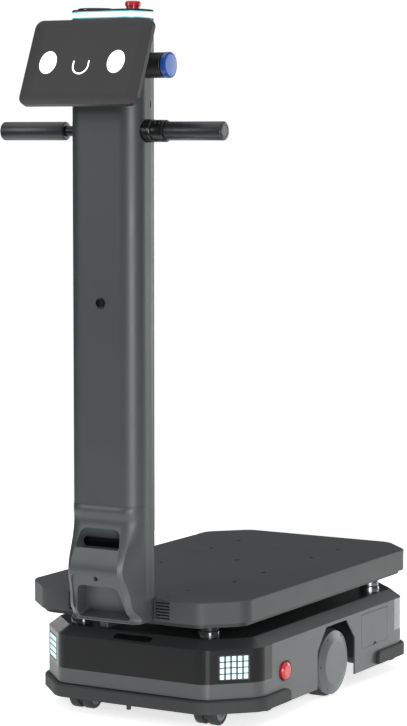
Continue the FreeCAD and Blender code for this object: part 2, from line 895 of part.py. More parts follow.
def make_platform():
    outer = slab(platform_plan(0), platform_radius, platform_low, platform_top - 1.5)
    bevel = frustum(platform_plan(0), platform_radius, platform_top - 1.5,
                    platform_plan(1.5), platform_radius - 1.5, platform_top)
    hollow = slab(platform_plan(platform_wall), platform_radius - platform_wall,
                  platform_low - 1, platform_top - platform_skin)
    walls = block(-notch_half - platform_wall, notch_half + platform_wall, platform_front,
                  platform_front + notch_depth + platform_wall, platform_low, platform_top)
    tray = outer.fuse(bevel).cut(hollow)
    high = platform_top - platform_skin
    inside = slab(platform_plan(platform_wall / 2), platform_radius, platform_low, platform_top)
    extras = [walls.common(outer)]
    rib_x = hole_spacing_x / 2
    for x in (-rib_x, 0, rib_x):
        start = platform_front + notch_depth + 100
        extras.append(block(x - rib_thick / 2, x + rib_thick / 2, start, platform_rear,
                            high - rib_height, high).common(inside))
    for y in (hole_middle_y - rib_pitch, hole_middle_y, hole_middle_y + rib_pitch):
        extras.append(block(-far, far, y - rib_thick / 2, y + rib_thick / 2,
                            high - rib_height, high).common(inside))
    extras += [rod(boss_radius, V(x, y, high - 12), V(x, y, high)) for x, y in hole_points()]
    extras += [rod(post_radius + 4, V(x, y, platform_low), V(x, y, high))
               for x, y in post_points()]
    tray = fused([tray] + extras)
    cuts = [platform_notch()]
    cuts += [rod(insert_radius, V(x, y, platform_top - insert_length), V(x, y, platform_top + 1))
             for x, y in hole_points()]
    cuts += [rod(insert_bore + 0.8, V(x, y, high - 13), V(x, y, platform_top + 1))
             for x, y in hole_points()]
    cuts += [grille_box(s, 0.0) for s in (-1, 1)]
    cuts += [rod(3.5, V(x, y, high - 1), V(x, y, platform_top + 1)) for x, y in bracket_screws()]
    cuts.append(tie_block(seam, platform_front, platform_front + notch_depth + 10))
    return tray.cut(cuts)


def grille_box(s, fit):
    """Box of one front grille in the platform's front wall."""
    x0, x1 = sorted((s * (grille_inner_x + fit), s * (grille_outer_x - fit)))
    return block(x0, x1, platform_front - 1 if fit == 0 else platform_front,
                 platform_front + grille_depth, grille_low + fit, grille_high - fit)


def make_grilles():
    """Two ribbed inserts beside the column: fins across a back plate."""
    grilles = []
    for s in (-1, 1):
        box = grille_box(s, seam)
        pitch = (grille_high - grille_low) / grille_fins
        gaps = [block(-300, 300, platform_front - 2, platform_front + grille_depth - 3,
                      grille_low + (i + 0.55) * pitch - pitch / 4,
                      grille_low + (i + 0.55) * pitch + pitch / 4) for i in range(grille_fins)]
        grilles.append(box.cut(gaps))
    return group(grilles)


def make_underplate():
    """Plate that closes the platform's underside and rests on the posts."""
    return slab(platform_plan(underplate_inset), platform_radius - underplate_inset,
                platform_low - underplate_thick, platform_low)


def make_inserts():
    inserts = []
    for x, y in hole_points():
        sleeve = rod(insert_radius, V(x, y, platform_top - insert_length), V(x, y, platform_top))
        inserts.append(sleeve.cut(rod(insert_bore, V(x, y, platform_top - insert_length - 1),
                                      V(x, y, platform_top + 1))))
    return inserts


def make_posts():
    """Turned posts: a spigot through the deck, a wide foot and a plain shank."""
    low = platform_low - underplate_thick
    profile = [(pedestal_top, 0), (pedestal_top, post_spigot_radius),
               (deck_top, post_spigot_radius), (deck_top, post_foot_radius),
               (deck_top + post_foot_height - 1.5, post_foot_radius),
               (deck_top + post_foot_height, post_radius), (low, post_radius), (low, 0)]
    return group([turned(profile, V(x, y, 0), V(0, 0, 1)) for x, y in post_points()])


def make_duct():
    """Cable duct between the deck and the platform."""
    plan = rectangle(duct_x, duct_y, duct_width, duct_length)
    return slab(plan, 6, deck_top, platform_low - underplate_thick)


def make_floor_sensors():
    """Downward range sensors at the base's four corners, just inside the skirt."""
    x1 = base_width / 2 - shell_wall
    sensors = []
    for y in (base_front + sensor_inset, base_rear - sensor_inset):
        sensor = block(x1 - 12, x1, y - 9, y + 9, sensor_low, chassis_low)
        lens = rod(3.0, V(x1 - 6, y, sensor_low - 1), V(x1 - 6, y, sensor_low + 2))
        sensors.append(sensor.cut(lens))
    return group(sensors + [mirrored(sensor) for sensor in sensors])


def make_screws():
    """Countersunk screws that hold the column bracket, heads flush with the platform."""
    profile = [(-18, 0), (-18, 2.5), (-platform_skin, 2.5), (-3, 3.4), (0, 3.4), (0, 1.6),
               (-2, 1.6), (-2, 0)]
    return [turned(profile, V(x, y, platform_top), V(0, 0, 1)) for x, y in bracket_screws()]


# ---------------------------------------------------------------- column
spine_front = handle_y + bar_radius
spine_rear = column_rear - column_wall


def spine_pocket(grow, low, high):
    """Prism on the spine's plan, grown all round."""
    return slab(rectangle(0, (spine_front + spine_rear) / 2, spine_width + 2 * grow,
                          spine_rear - spine_front + 2 * grow), 4 + grow, low, high)


def make_bracket():
    """Steel shoe in the foot of the rear cover, tied to a flange under the platform's top."""
    high = platform_top - platform_skin
    low = spine_low - 6
    wall = platform_front + notch_depth
    back = wall + platform_wall
    shoe = behind(column_slab(column_wall, low, high), column_split_y + seam)
    for s in (-1, 1):
        x0, x1 = sorted((s * (spine_width / 2 + 7), s * 100.0))
        shoe = shoe.cut(block(x0, x1, -500, 0, low + 6, high - 6))
    flange_half = screw_x + 12
    flange = block(-flange_half, flange_half, back, screw_rear_y + 16, high - 6, high)
    parts = [shoe, flange, tie_block(0.0, column_rear - column_wall - 2, back + 2),
             block(-tie_half, tie_half, back, back + 8, tie_low, high)]
    for s in (-1, 1):
        x0, x1 = sorted((s * (notch_half + platform_wall), s * flange_half))
        parts.append(block(x0, x1, screw_front_y - 9, back + 1, high - 6, high))
    middle = (spine_front + spine_rear) / 2
    cuts = [spine_pocket(0.0, spine_low, high + 1),
            block(-spine_width / 2, spine_width / 2, middle, spine_rear, spine_low, high + 1)]
    cuts += [rod(2.5, V(x, y, high - 13), V(x, y, high + 1)) for x, y in bracket_screws()]
    return fused(parts).cut(cuts)


def tie_block(grow, y0, y1):
    """Bar that ties the shoe to the flange, through the cover and the platform's wall."""
    return block(-tie_half - grow, tie_half + grow, y0, y1, tie_low - grow,
                 tie_low + tie_height + grow)


def make_spine():
    """Steel tube inside the column with a welded saddle for the handle bar."""
    high = column_top - 2
    outer = spine_pocket(0, spine_low, high)
    inner = spine_pocket(-spine_wall, spine_low - 1, high + 1)
    saddle = block(-saddle_half, saddle_half, handle_y - bar_radius - 5, spine_front + 1,
                   handle_z - saddle_height / 2, handle_z + saddle_height / 2)
    bar = rod(bar_radius, V(-100, handle_y, handle_z), V(100, handle_y, handle_z))
    arm = block(spine_width / 2 - 1, clamp_root, spine_front, button_y + button_radius - 3,
                button_z - 12, button_z + 12)
    return fused([outer.cut(inner), saddle, arm.cut(inner)]).cut(bar)


def spacers(levels, start):
    """Round bosses from the front cover back to the spine."""
    return [rod(boss_size, V(s * boss_x, start, z), V(s * boss_x, spine_front, z))
            for s in (-1, 1) for z in levels]


def side_cuts():
    """Round openings in the column's sides for the handle bar, clamp and button tube."""
    return [rod(bar_radius + seam, V(-100, handle_y, handle_z), V(100, handle_y, handle_z)),
            rod(clamp_base_radius + seam, V(clamp_root - 1, handle_y, handle_z),
                V(100, handle_y, handle_z)),
            rod(button_radius + seam, V(clamp_root - 1, button_y, button_z),
                V(100, button_y, button_z))]


def make_column_front():
    """Front cover above the horizontal seam, open to the rear."""
    tube = column_slab(0, column_seam_z, column_top).cut(
        column_slab(column_wall, column_seam_z - 1, column_top + 1))
    cover = ahead_of(tube, column_split_y)
    plug = rod(plug_radius + seam, V(0, column_front - 1, plug_z),
               V(0, column_front + 2.5, plug_z))
    cover = fused([cover] + spacers(boss_levels, column_front + column_wall - 1))
    return cover.cut(side_cuts() + [plug])


def make_column_rear():
    """Rear cover over the full height, with a slot in its right-hand side."""
    tube = column_slab(0, platform_low, column_top).cut(
        column_slab(column_wall, platform_low - 1, column_top + 1))
    cover = behind(tube, column_split_y + seam)
    tie = tie_block(seam, column_rear - 2 * column_wall, column_rear + 1)
    slot = slab(rectangle(column_front + slot_shift, column_top - slot_drop, 3.0, 14.0), 1.4,
                column_width / 2 - 1.5, column_width / 2 + 1, "yz")
    return cover.cut(side_cuts() + [slot, tie])


def make_plug():
    """Cup washer with a socket screw, set into the column's front."""
    base = column_front + 2.5
    profile = [(0, 0), (0, plug_radius), (3.0, plug_radius), (3.8, plug_radius - 1.2),
               (3.0, plug_radius - 2.6), (1.6, plug_radius - 3.6), (1.6, 5.2), (3.2, 4.6),
               (3.6, 3.6), (3.6, 0)]
    plug = turned(profile, V(0, base, plug_z), V(0, -1, 0))
    socket = slab([(2.4 * math.cos(math.radians(60 * i)),
                    plug_z + 2.4 * math.sin(math.radians(60 * i))) for i in range(6)], 0,
                  base - 6, base - 2, "xz")
    return plug.cut(socket)


def smooth(t):
    """Ease from 0 to 1."""
    t = max(0.0, min(1.0, t))
    return t * t * (3 - 2 * t)


def foot_front(z):
    """Y of the foot's flat front: flared forward by a brow, then leaning back to the toe."""
    if z >= flare_z:
        return column_front - flare_out * smooth((flare_top - z) / (flare_top - flare_z))
    t = (flare_z - z) / (flare_z - foot_low)
    return column_front - flare_out + (flare_out + toe_back) * t


def foot_section(z, inset=0.0):
    """Section of the foot: back, side, hollow flank, crease, narrow bevel and flat front."""
    side = column_width / 2
    corner_x = side - column_radius
    lean = math.radians(40)
    round_x = corner_x + column_radius * math.sin(lean)
    round_back = column_radius * (1 - math.cos(lean))
    t = smooth((flare_top - z) / (flare_top - flare_z))
    k = max(0.0, (flare_z - z) / (flare_z - foot_low))
    half = corner_x + (flare_half - corner_x) * t + (toe_half - flare_half) * k
    crease = round_x + (crease_half - round_x) * t + (toe_crease_half - crease_half) * k
    back = round_back + (crease_back - round_back) * t + (toe_crease_back - crease_back) * k
    front = foot_front(z) + inset
    start = V(side - inset, column_front + column_radius, z)
    turn = V(crease - 0.9 * inset, front + back - 0.6 * inset, z)
    end = V(half - 0.6 * inset, front, z)
    flank = bowed(start, turn, 0.111 * (1 - t) + 0.02 * t)
    bevel = bowed(turn, end, 0.088 * (1 - t) + 0.01 * t)
    points = [V(side - inset, column_split_y, z), start, flank, turn, bevel, end]
    far_points = [V(-p.x, p.y, z) for p in points]
    edges = [Part.LineSegment(points[0], start), Part.Arc(start, flank, turn),
             Part.Arc(turn, bevel, end), Part.LineSegment(end, far_points[5]),
             Part.Arc(far_points[5], far_points[4], far_points[3]),
             Part.Arc(far_points[3], far_points[2], far_points[1]),
             Part.LineSegment(far_points[1], far_points[0]),
             Part.LineSegment(far_points[0], points[0])]
    return Part.Wire([e.toShape() for e in edges])


def bowed(start, end, share):
    """Middle of an arc between two points that bows outwards by a share of its chord."""
    chord = end - start
    out = V(-chord.y, chord.x, 0)
    out.normalize()
    if out.x < 0:
        out = out * -1
    return (start + end) * 0.5 + out * (chord.Length * share)


panel_lean = math.degrees(math.atan2(flare_out + toe_back, flare_z - foot_low))


def on_foot_panel(shape):
    """Move a shape from the arch panel's own frame (Z out of it, Y up it) to its place."""
    moved = shape.copy()
    moved.Placement = FreeCAD.Placement(V(0, foot_front(foot_low) + panel_sink, foot_low),
                                        FreeCAD.Rotation(V(1, 0, 0), 90 + panel_lean))
    return moved


def up_panel(z):
    """Distance up the arch panel at which a height is reached."""
    return (z - foot_low) / math.cos(math.radians(panel_lean))


def make_foot():
    """Lower front cover: flared shield with a camera brow, an arch panel and a niche."""
    heights = [column_seam_z - seam, flare_top, 378.0, 352.0, 328.0, flare_z, 285.0, 255.0,
               230.0, foot_low]
    body = Part.makeLoft([foot_section(z) for z in heights], True, False)
    hollows = []
    for levels in ([column_seam_z + 1, flare_top, window_high + 23],
                   [window_low - foot_wall, 328.0, flare_z, foot_lens_z + 7.5]):
        hollows.append(Part.makeLoft([foot_section(z, foot_wall) for z in levels], True, False))
    base = column_front + brow_depth
    mouth = [(-brow_half_low, window_low - brow_drop), (brow_half_low, window_low - brow_drop),
             (brow_half_high, window_high + brow_rise), (-brow_half_high, window_high + brow_rise)]
    seat = rectangle(0, (window_low + window_high) / 2, 2 * window_half, window_high - window_low)
    brow = Part.makeLoft([outline(seat, (window_high - window_low) / 2 - 0.1, "xz", base),
                          outline(mouth, [10, 10, 24, 24], "xz", base - brow_reach)], True, True)
    opening = [(-niche_half_low, up_panel(niche_low)), (niche_half_low, up_panel(niche_low)),
               (niche_half_high, up_panel(niche_high)), (-niche_half_high, up_panel(niche_high))]
    floor = [(x - math.copysign(niche_draft, x), y - d * niche_draft)
             for (x, y), d in zip(opening, (-1, -1, 1, 1))]
    corners = [6, 6, niche_radius, niche_radius]
    niche = Part.makeLoft([outline(opening, corners, "xy", 0.5),
                           outline(floor, corners, "xy", -niche_deep)], True, True)
    arch = slab([(-arch_half_low, -20), (arch_half_low, -20),
                 (arch_half_high, up_panel(arch_high)), (-arch_half_high, up_panel(arch_high))],
                [0, 0, arch_radius, arch_radius], 0, 40)
    lens = rod(foot_lens_radius, V(0, up_panel(foot_lens_z), -lens_pocket),
               V(0, up_panel(foot_lens_z), 40))
    foot = body.cut(hollows + [brow] + [on_foot_panel(s) for s in (niche, arch, lens)])
    return fused([foot] + spacers([foot_boss_z], column_front + foot_wall - 2))


def make_foot_camera():
    """Round-ended dark window at the bottom of the brow."""
    middle = (window_low + window_high) / 2
    tall = window_high - window_low - 2 * window_fit
    y0 = column_front + brow_depth
    return slab(rectangle(0, middle, 2 * (window_half - window_fit), tall), tall / 2 - 0.1,
                y0 - 2.5, y0, "xz")


def make_foot_lens():
    """Small round sensor window in the arch panel."""
    face = lens_pocket - 1
    profile = [(0, 0), (0, foot_lens_radius - 0.1), (face, foot_lens_radius - 0.1), (face, 3.2),
               (face - 1, 3.0), (face - 0.4, 1.4), (face - 0.2, 0)]
    return on_foot_panel(turned(profile, V(0, up_panel(foot_lens_z), -lens_pocket), V(0, 0, 1)))


# ---------------------------------------------------------------- handles
def make_bar():
    return rod(bar_radius, V(8 - grip_tip, handle_y, handle_z),
               V(grip_tip - 8, handle_y, handle_z))


def make_grip(start, tip):
    """Round grip over the bar's end, with a sunk ring in its closed tip."""
    length = abs(tip - start)
    edge = 2.5
    profile = [(0, bar_radius), (0, grip_radius - 2), (2, grip_radius),
               (length - edge, grip_radius), (length - edge / 3, grip_radius - edge / 3),
               (length, grip_radius - edge), (length, 9), (length - 1.2, 8.4),
               (length - 1.2, 0), (length - grip_end_wall, 0),
               (length - grip_end_wall, bar_radius)]
    sign = 1 if tip > start else -1
    return turned(profile, V(start, handle_y, handle_z), V(sign, 0, 0))


def make_clamp():
    """Stepped collar round the bar at the column's right-hand side, with a split."""
    ring = turned([(0, bar_radius), (0, clamp_base_radius),
                   (clamp_base_end - clamp_root, clamp_base_radius),
                   (clamp_base_end - clamp_root + 0.8, clamp_radius),
                   (clamp_end - clamp_root - 3, clamp_radius),
                   (clamp_end - clamp_root, grip_radius), (clamp_end - clamp_root, bar_radius)],
                  V(clamp_root, handle_y, handle_z), V(1, 0, 0))
    split = block(clamp_base_end - 14, clamp_end + 1, handle_y - 30, handle_y,
                  handle_z - 6.5, handle_z - 5)
    screw = rod(3.0, V(clamp_base_end + 10, handle_y - 14, handle_z + 30),
                V(clamp_base_end + 10, handle_y - 14, handle_z + 6))
    return ring.cut([split, screw])


# ---------------------------------------------------------------- blue button
def make_button_tube():
    length = button_tube_end - clamp_root
    inner = button_stem + button_fit
    return turned([(0, 0), (0, button_radius), (length - 0.8, button_radius),
                   (length, button_radius - 0.8), (length, inner), (8, inner), (8, 0)],
                  V(clamp_root, button_y, button_z), V(1, 0, 0))


def make_button_cap():
    length = button_cap_face - button_cap_back
    return turned([(-18, 0), (-18, button_stem), (0, button_stem), (0, button_radius + 0.4),
                   (length - 5, button_radius + 0.4), (length - 1.2, button_radius - 4.6),
                   (length, button_radius - 5.6), (length, 0)],
                  V(button_cap_back, button_y, button_z), V(1, 0, 0))


# ---------------------------------------------------------------- screen
def on_screen(shape):
    """Move a shape from the screen's own frame (Z out of the glass, Y up) to its place."""
    moved = shape.copy()
    moved.Placement = FreeCAD.Placement(V(0, screen_y, screen_z),
                                        FreeCAD.Rotation(V(1, 0, 0), 90 - screen_tilt))
    return moved


def screen_point(up, out):
    """(y, z) of a point given up the screen and out of its face."""
    tilt = math.radians(screen_tilt)
    return (screen_y + up * math.sin(tilt) - out * math.cos(tilt),
            screen_z + up * math.cos(tilt) + out * math.sin(tilt))


def make_screen_housing():
    face = rectangle(0, 0, screen_width, screen_height)
    rim_low = -glass_thick - screen_body
    rim = slab(face, screen_radius, rim_low, -glass_thick)
    shallow = rectangle(0, 0, screen_width - 30, screen_height - 30)
    back = frustum(shallow, screen_radius - 6, rim_low - 8, face, screen_radius, rim_low)
    pocket = slab(rectangle(0, display_rise, display_width, display_height), 4,
                  -glass_thick - display_thick, -glass_thick + 1)
    body = on_screen(rim.fuse(back).cut(pocket))
    top = screen_point(58, rim_low - 6)
    low = screen_point(-52, rim_low - 6)
    side = [top, (column_front, top[1]), (column_front, low[1] + 22), low]
    neck = slab(side, 0, -neck_half, neck_half, "yz")
    return fused([body, neck])


def make_screen_glass():
    face = rectangle(0, 0, screen_width, screen_height)
    inner = rectangle(0, 0, screen_width - 1.6, screen_height - 1.6)
    plate = slab(face, screen_radius, -glass_thick, -0.8)
    bevel = frustum(face, screen_radius, -0.8, inner, screen_radius - 0.8, 0)
    return on_screen(plate.fuse(bevel))


def make_display():
    return on_screen(slab(rectangle(0, display_rise, display_width - 0.4, display_height - 0.4),
                          3.8, -glass_thick - display_thick, -glass_thick))


# ---------------------------------------------------------------- head
def make_light_band():
    return column_slab(0, column_top, band_high).cut(
        column_slab(band_wall, column_top - 1, band_high + 1))


def make_lid():
    lid = frustum(column_plan(0.0), column_radius, band_high,
                  column_plan(1.5), column_radius - 1.5, lid_top)
    plug = column_slab(band_wall + seam, column_top, band_high)
    well = rod(stop_cup_radius, V(top_stop_x, button_y, column_top - 1),
               V(top_stop_x, button_y, lid_top + 1))
    return lid.fuse(plug).cut(well)


def make_ceiling_camera():
    """Low round housing with a domed lens that looks up."""
    high = dome_high - lid_top
    return turned([(0, 0), (0, dome_radius), (high - 1.4, dome_radius),
                   (high, dome_radius - 4), (high, 13), (high - 1, 12), (high - 0.4, 8),
                   (high + 0.6, 4.5), (high + 1, 0)],
                  V(dome_x, button_y, lid_top), V(0, 0, 1))


def make_top_cup():
    """Round well in the lid that guides the top emergency stop."""
    low = column_top - 6
    inner = stop_neck_radius + stem_fit
    return turned([(low, 0), (low, stop_cup_radius), (lid_top + 0.6, stop_cup_radius),
                   (lid_top + 1.2, stop_cup_radius - 0.6), (lid_top + 1.2, inner),
                   (low + 3, inner), (low + 3, 0)], V(top_stop_x, button_y, 0), V(0, 0, 1))


def make_top_head():
    low = column_top + 3
    return turned([(low, 0), (low, stop_neck_radius), (stop_head_low, stop_neck_radius),
                   (stop_head_low + 0.8, stop_head_radius), (stop_head_high - 2.5, stop_head_radius),
                   (stop_head_high - 0.8, stop_head_radius - 1.2),
                   (stop_head_high, stop_head_radius - 3.6), (stop_head_high, 0)],
                  V(top_stop_x, button_y, 0), V(0, 0, 1))


# ---------------------------------------------------------------- side emergency stops
def make_side_cup():
    """Round-ended cup in the right-hand wall, with a guide tube for the stem."""
    face = base_width / 2
    floor = face - side_cup_depth
    rim = cup_opening(floor - 2.5, face - 0.2, -0.15)
    flange = cup_opening(face - shell_wall - 2.5, face - shell_wall, 3.5)
    hollow = cup_opening(floor, face + 1, -2.5)
    centre = V(0, side_stop_y, side_stop_z)
    tube = rod(side_stem_radius + 4, centre + V(floor - 20, 0, 0), centre + V(floor - 1, 0, 0))
    bore = rod(side_stem_radius + stem_fit, centre + V(floor - 17, 0, 0),
               centre + V(floor + 1, 0, 0))
    return fused([rim, flange, tube]).cut([hollow, bore])


def make_side_head():
    """Mushroom head and stem of the right-hand emergency stop."""
    start = side_head_back - 18
    length = side_head_face - side_head_back
    r = side_head_radius
    return turned([(0, 0), (0, side_stem_radius), (18, side_stem_radius), (18, r - 1.5),
                   (20, r), (18 + length - 4, r), (18 + length - 1.2, r - 2),
                   (18 + length, r - 5.5), (18 + length, 0)],
                  V(start, side_stop_y, side_stop_z), V(1, 0, 0))


# ---------------------------------------------------------------- service niche
hinge_x = base_width / 2 - flap_thick / 2
hinge_z = flap_z + flap_height / 2 - flap_gap - flap_thick / 2


def knuckle_span(s, grow=0.0):
    """Y range of one hinge knuckle."""
    middle = flap_y + s * knuckle_spacing / 2
    return middle - knuckle_length / 2 - grow, middle + knuckle_length / 2 + grow


def make_niche():
    """Tub behind the service opening, with two hinge knuckles at its top."""
    face = base_width / 2 - shell_wall
    floor = face - niche_depth
    tub = flap_opening(floor - niche_wall, face, niche_wall)
    flange = flap_opening(face - niche_wall, face, niche_flange)
    tub = fused([tub, flange]).cut(flap_opening(floor, face + 1))
    parts = [tub]
    for s in (-1, 1):
        y0, y1 = knuckle_span(s)
        arm = block(face - 14, hinge_x, y0, y1, hinge_z - 1.2, hinge_z + 1.2)
        riser = block(face - 14, face - 9, y0, y1, hinge_z - 1.2,
                      flap_z + flap_height / 2 + 1)
        parts += [arm, riser, rod(knuckle_radius, V(hinge_x, y0, hinge_z),
                                  V(hinge_x, y1, hinge_z))]
    tub = fused(parts)
    holes = [rod(hinge_pin, V(hinge_x, flap_y - 60, hinge_z), V(hinge_x, flap_y + 60, hinge_z)),
             rod(power_radius + power_fit, V(floor - 5, flap_y + power_offset, flap_z),
                 V(floor + 1, flap_y + power_offset, flap_z))]
    return tub.cut(holes)


def make_flap():
    """Flush flap with a round top edge on the hinge axis and a finger notch below."""
    face = base_width / 2
    back = face - flap_thick
    low = flap_z - flap_height / 2 + flap_gap
    length = flap_length - 2 * flap_gap
    half = length / 2
    r = flap_radius - flap_gap
    top_r = flap_top_radius - flap_gap
    plan = slab([(flap_y - half, low), (flap_y + half, low),
                 (flap_y + half, hinge_z + flap_thick / 2),
                 (flap_y - half, hinge_z + flap_thick / 2)], [r, r, top_r, top_r],
                back, face, "yz")
    square = block(back, face, flap_y - half, flap_y + half, low, hinge_z)
    bar = rod(flap_thick / 2, V(hinge_x, flap_y - half, hinge_z),
              V(hinge_x, flap_y + half, hinge_z))
    flap = plan.common(square.fuse(bar))
    hollow = block(back - 1, face - 2, flap_y - half + 8, flap_y + half - 8, low + 10,
                   hinge_z - 8)
    cuts = [hollow, rod(hinge_pin + hinge_fit, V(hinge_x, flap_y - 70, hinge_z),
                        V(hinge_x, flap_y + 70, hinge_z)),
            rod(9, V(face - 2.2, flap_y, low - 3), V(face + 5, flap_y, low - 3))]
    for s in (-1, 1):
        y0, y1 = knuckle_span(s, 0.4)
        cuts.append(block(back - 1, face - flap_skin, y0, y1, hinge_z - 4,
                          hinge_z + flap_thick))
    return flap.cut(cuts)


def make_hinge_pin():
    half = knuckle_spacing / 2 + knuckle_length / 2 + 8
    return rod(hinge_pin, V(hinge_x, flap_y - half, hinge_z), V(hinge_x, flap_y + half, hinge_z))


def make_charge_inlet():
    """Charging socket on the tub's floor: a rounded block with a well for the plug."""
    floor = base_width / 2 - shell_wall - niche_depth
    y = flap_y - 24
    body = slab(rectangle(y, flap_z, 44, 30), 12, floor, floor + 12, "yz")
    well = slab(rectangle(y, flap_z, 36, 22), 9, floor + 3, floor + 13, "yz")
    return body.cut(well)


def make_power_button():
    floor = base_width / 2 - shell_wall - niche_depth
    return turned([(-12, 0), (-12, power_radius), (3.5, power_radius), (4.5, power_radius - 1),
                   (4.5, 0)], V(floor, flap_y + power_offset, flap_z), V(1, 0, 0))


# ---------------------------------------------------------------- list of pieces
cup = make_side_cup()
motor = make_hub_motor()
pieces = {
    "base_shell": make_base_shell(),
    "deck_cover": make_deck_cover(),
    "front_panel": make_panel(True),
    "rear_panel": make_panel(False),
    "corner_lights": group(make_lights(True) + make_lights(False)),
    "front_camera": make_front_camera(),
    "front_bumper": make_bumper(-1),
    "rear_bumper": make_bumper(1),
    "chassis_frame": make_chassis(),
    "wheel_liners": make_wheel_liners(),
    "hub_motors": group([motor, mirrored(motor)]),
    "battery_pack": make_battery(),
    "controller_box": make_controller(),
    "floor_sensors": make_floor_sensors(),
    "cable_duct": make_duct(),
    "support_posts": make_posts(),
    "platform_plate": make_platform(),
    "platform_underplate": make_underplate(),
    "platform_fixings": group(make_inserts() + make_screws()),
    "front_grilles": make_grilles(),
    "column_bracket": make_bracket(),
    "column_spine": make_spine(),
    "column_front": make_column_front(),
    "column_rear": make_column_rear(),
    "column_foot": make_foot(),
    "column_plug": make_plug(),
    "foot_sensors": group([make_foot_camera(), make_foot_lens()]),
    "handle_bar": make_bar(),
    "handle_grips": group([make_grip(-left_grip_start, -grip_tip),
                           make_grip(clamp_end, grip_tip)]),
    "handle_clamp": make_clamp(),
    "button_tube": make_button_tube(),
    "button_cap": make_button_cap(),
    "screen_housing": make_screen_housing(),
    "screen_glass": make_screen_glass(),
    "display_panel": make_display(),
    "light_band": make_light_band(),
    "head_lid": make_lid(),
    "ceiling_camera": make_ceiling_camera(),
    "stop_cups": group([make_top_cup(), cup, mirrored(cup)]),
    "stop_head_top": make_top_head(),
    "stop_head_right": make_side_head(),
    "stop_head_left": mirrored(make_side_head()),
    "service_niche": make_niche(),
    "service_flap": make_flap(),
    "hinge_pin": make_hinge_pin(),
    "charge_inlet": make_charge_inlet(),
    "power_button": make_power_button(),
    "caster_mounts": group([make_caster_mount(x, y) for x, y in caster_points().values()]),
}

wheel = [make_rim(), make_wheel_cover()]
pieces["drive_wheel_right"] = group(wheel)
pieces["drive_wheel_left"] = group([mirrored(solid) for solid in wheel])
pieces["tyre_right"] = make_tyre()
pieces["tyre_left"] = mirrored(make_tyre())
for corner, (x, y) in caster_points().items():
    pieces["caster_fork_" + corner] = make_caster_fork(x, y)
    pieces["caster_wheels_" + corner] = group([make_caster_wheel(x, y, s) for s in (-1, 1)])

os.makedirs("parts", exist_ok=True)
for name, shape in pieces.items():
    shape.exportStep("parts/%s.step" % name)
    print(name, len(shape.Solids), round(shape.Volume / 1000, 1), shape.isValid())
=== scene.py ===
import json
import math

import bpy
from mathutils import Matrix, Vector


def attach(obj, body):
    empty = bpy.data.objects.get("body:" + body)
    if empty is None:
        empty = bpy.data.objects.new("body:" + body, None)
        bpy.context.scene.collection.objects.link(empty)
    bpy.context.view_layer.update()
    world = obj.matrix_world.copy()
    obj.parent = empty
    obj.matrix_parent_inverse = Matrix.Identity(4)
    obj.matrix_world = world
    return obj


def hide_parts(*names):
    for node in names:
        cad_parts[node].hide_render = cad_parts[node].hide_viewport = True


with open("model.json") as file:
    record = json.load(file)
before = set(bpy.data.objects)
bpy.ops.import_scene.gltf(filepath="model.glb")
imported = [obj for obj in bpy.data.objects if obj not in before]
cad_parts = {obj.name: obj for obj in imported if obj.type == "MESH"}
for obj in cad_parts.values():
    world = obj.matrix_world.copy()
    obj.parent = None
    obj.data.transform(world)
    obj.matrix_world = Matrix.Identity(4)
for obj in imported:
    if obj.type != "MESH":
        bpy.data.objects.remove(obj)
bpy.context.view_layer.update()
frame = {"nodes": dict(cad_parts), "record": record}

print("frame loaded:", len(frame["nodes"]), "nodes")

# lengths are in millimetres, up to the floor and lamps
mm = 0.001


# small helpers for modelling

def clearSelection():
    if bpy.context.object and bpy.context.object.mode != "OBJECT":
        bpy.ops.object.mode_set(mode="OBJECT")
    bpy.ops.object.select_all(action="DESELECT")


def makeActive(piece):
    clearSelection()
    piece.select_set(True)
    bpy.context.view_layer.objects.active = piece
    return piece


def settle(name):
    # the new primitive's place goes into its mesh, so its object stays at the origin
    piece = bpy.context.object
    piece.name = name
    piece.data.name = name
    bpy.ops.object.transform_apply(location=True, rotation=True, scale=True)
    return piece


def addBlock(name, low, high):
    clearSelection()
    low, high = Vector(low) * mm, Vector(high) * mm
    bpy.ops.mesh.primitive_cube_add(size=1, location=(low + high) / 2)
    bpy.context.object.scale = high - low
    return settle(name)


def turnTo(axis):
    return Vector((0, 0, 1)).rotation_difference(Vector(axis)).to_euler()


def addRod(name, start, axis, radius, length, sides=48):
    clearSelection()
    middle = (Vector(start) + Vector(axis).normalized() * length / 2) * mm
    bpy.ops.mesh.primitive_cylinder_add(vertices=sides, radius=radius * mm, depth=length * mm,
                                        location=middle, rotation=turnTo(axis))
    return settle(name)


def pick(piece, kind, test):
    # selects the vertices, edges or faces that pass a test, and leaves edit mode open
    makeActive(piece)
    bpy.ops.object.mode_set(mode="EDIT")
    bpy.ops.mesh.select_mode(type=kind)
    bpy.ops.mesh.select_all(action="DESELECT")
    bpy.ops.object.mode_set(mode="OBJECT")
    mesh = piece.data
    if kind == "EDGE":
        for edge in mesh.edges:
            a, b = (mesh.vertices[i].co / mm for i in edge.vertices)
            edge.select = test(a, b)
    elif kind == "FACE":
        for face in mesh.polygons:
            face.select = test(face.center / mm, face.normal)
    else:
        for vertex in mesh.vertices:
            vertex.select = test(vertex.co / mm)
    bpy.ops.object.mode_set(mode="EDIT")


def leaveEdit():
    bpy.ops.object.mode_set(mode="OBJECT")


def roundEdges(piece, test, width, steps=5):
    pick(piece, "EDGE", test)
    bpy.ops.mesh.bevel(offset=width * mm, offset_type="OFFSET", segments=steps, affect="EDGES")
    leaveEdit()
    return piece


def insetFaces(piece, test, width, depth=0.0):
    pick(piece, "FACE", test)
    bpy.ops.mesh.inset(thickness=width * mm, depth=depth * mm)
    leaveEdit()
    return piece


def upright(a, b):
    return abs(a.x - b.x) < 0.01 and abs(a.y - b.y) < 0.01


def endOn(a, b):
    # an edge that runs from front to back
    return abs(a.x - b.x) < 0.01 and abs(a.z - b.z) < 0.01


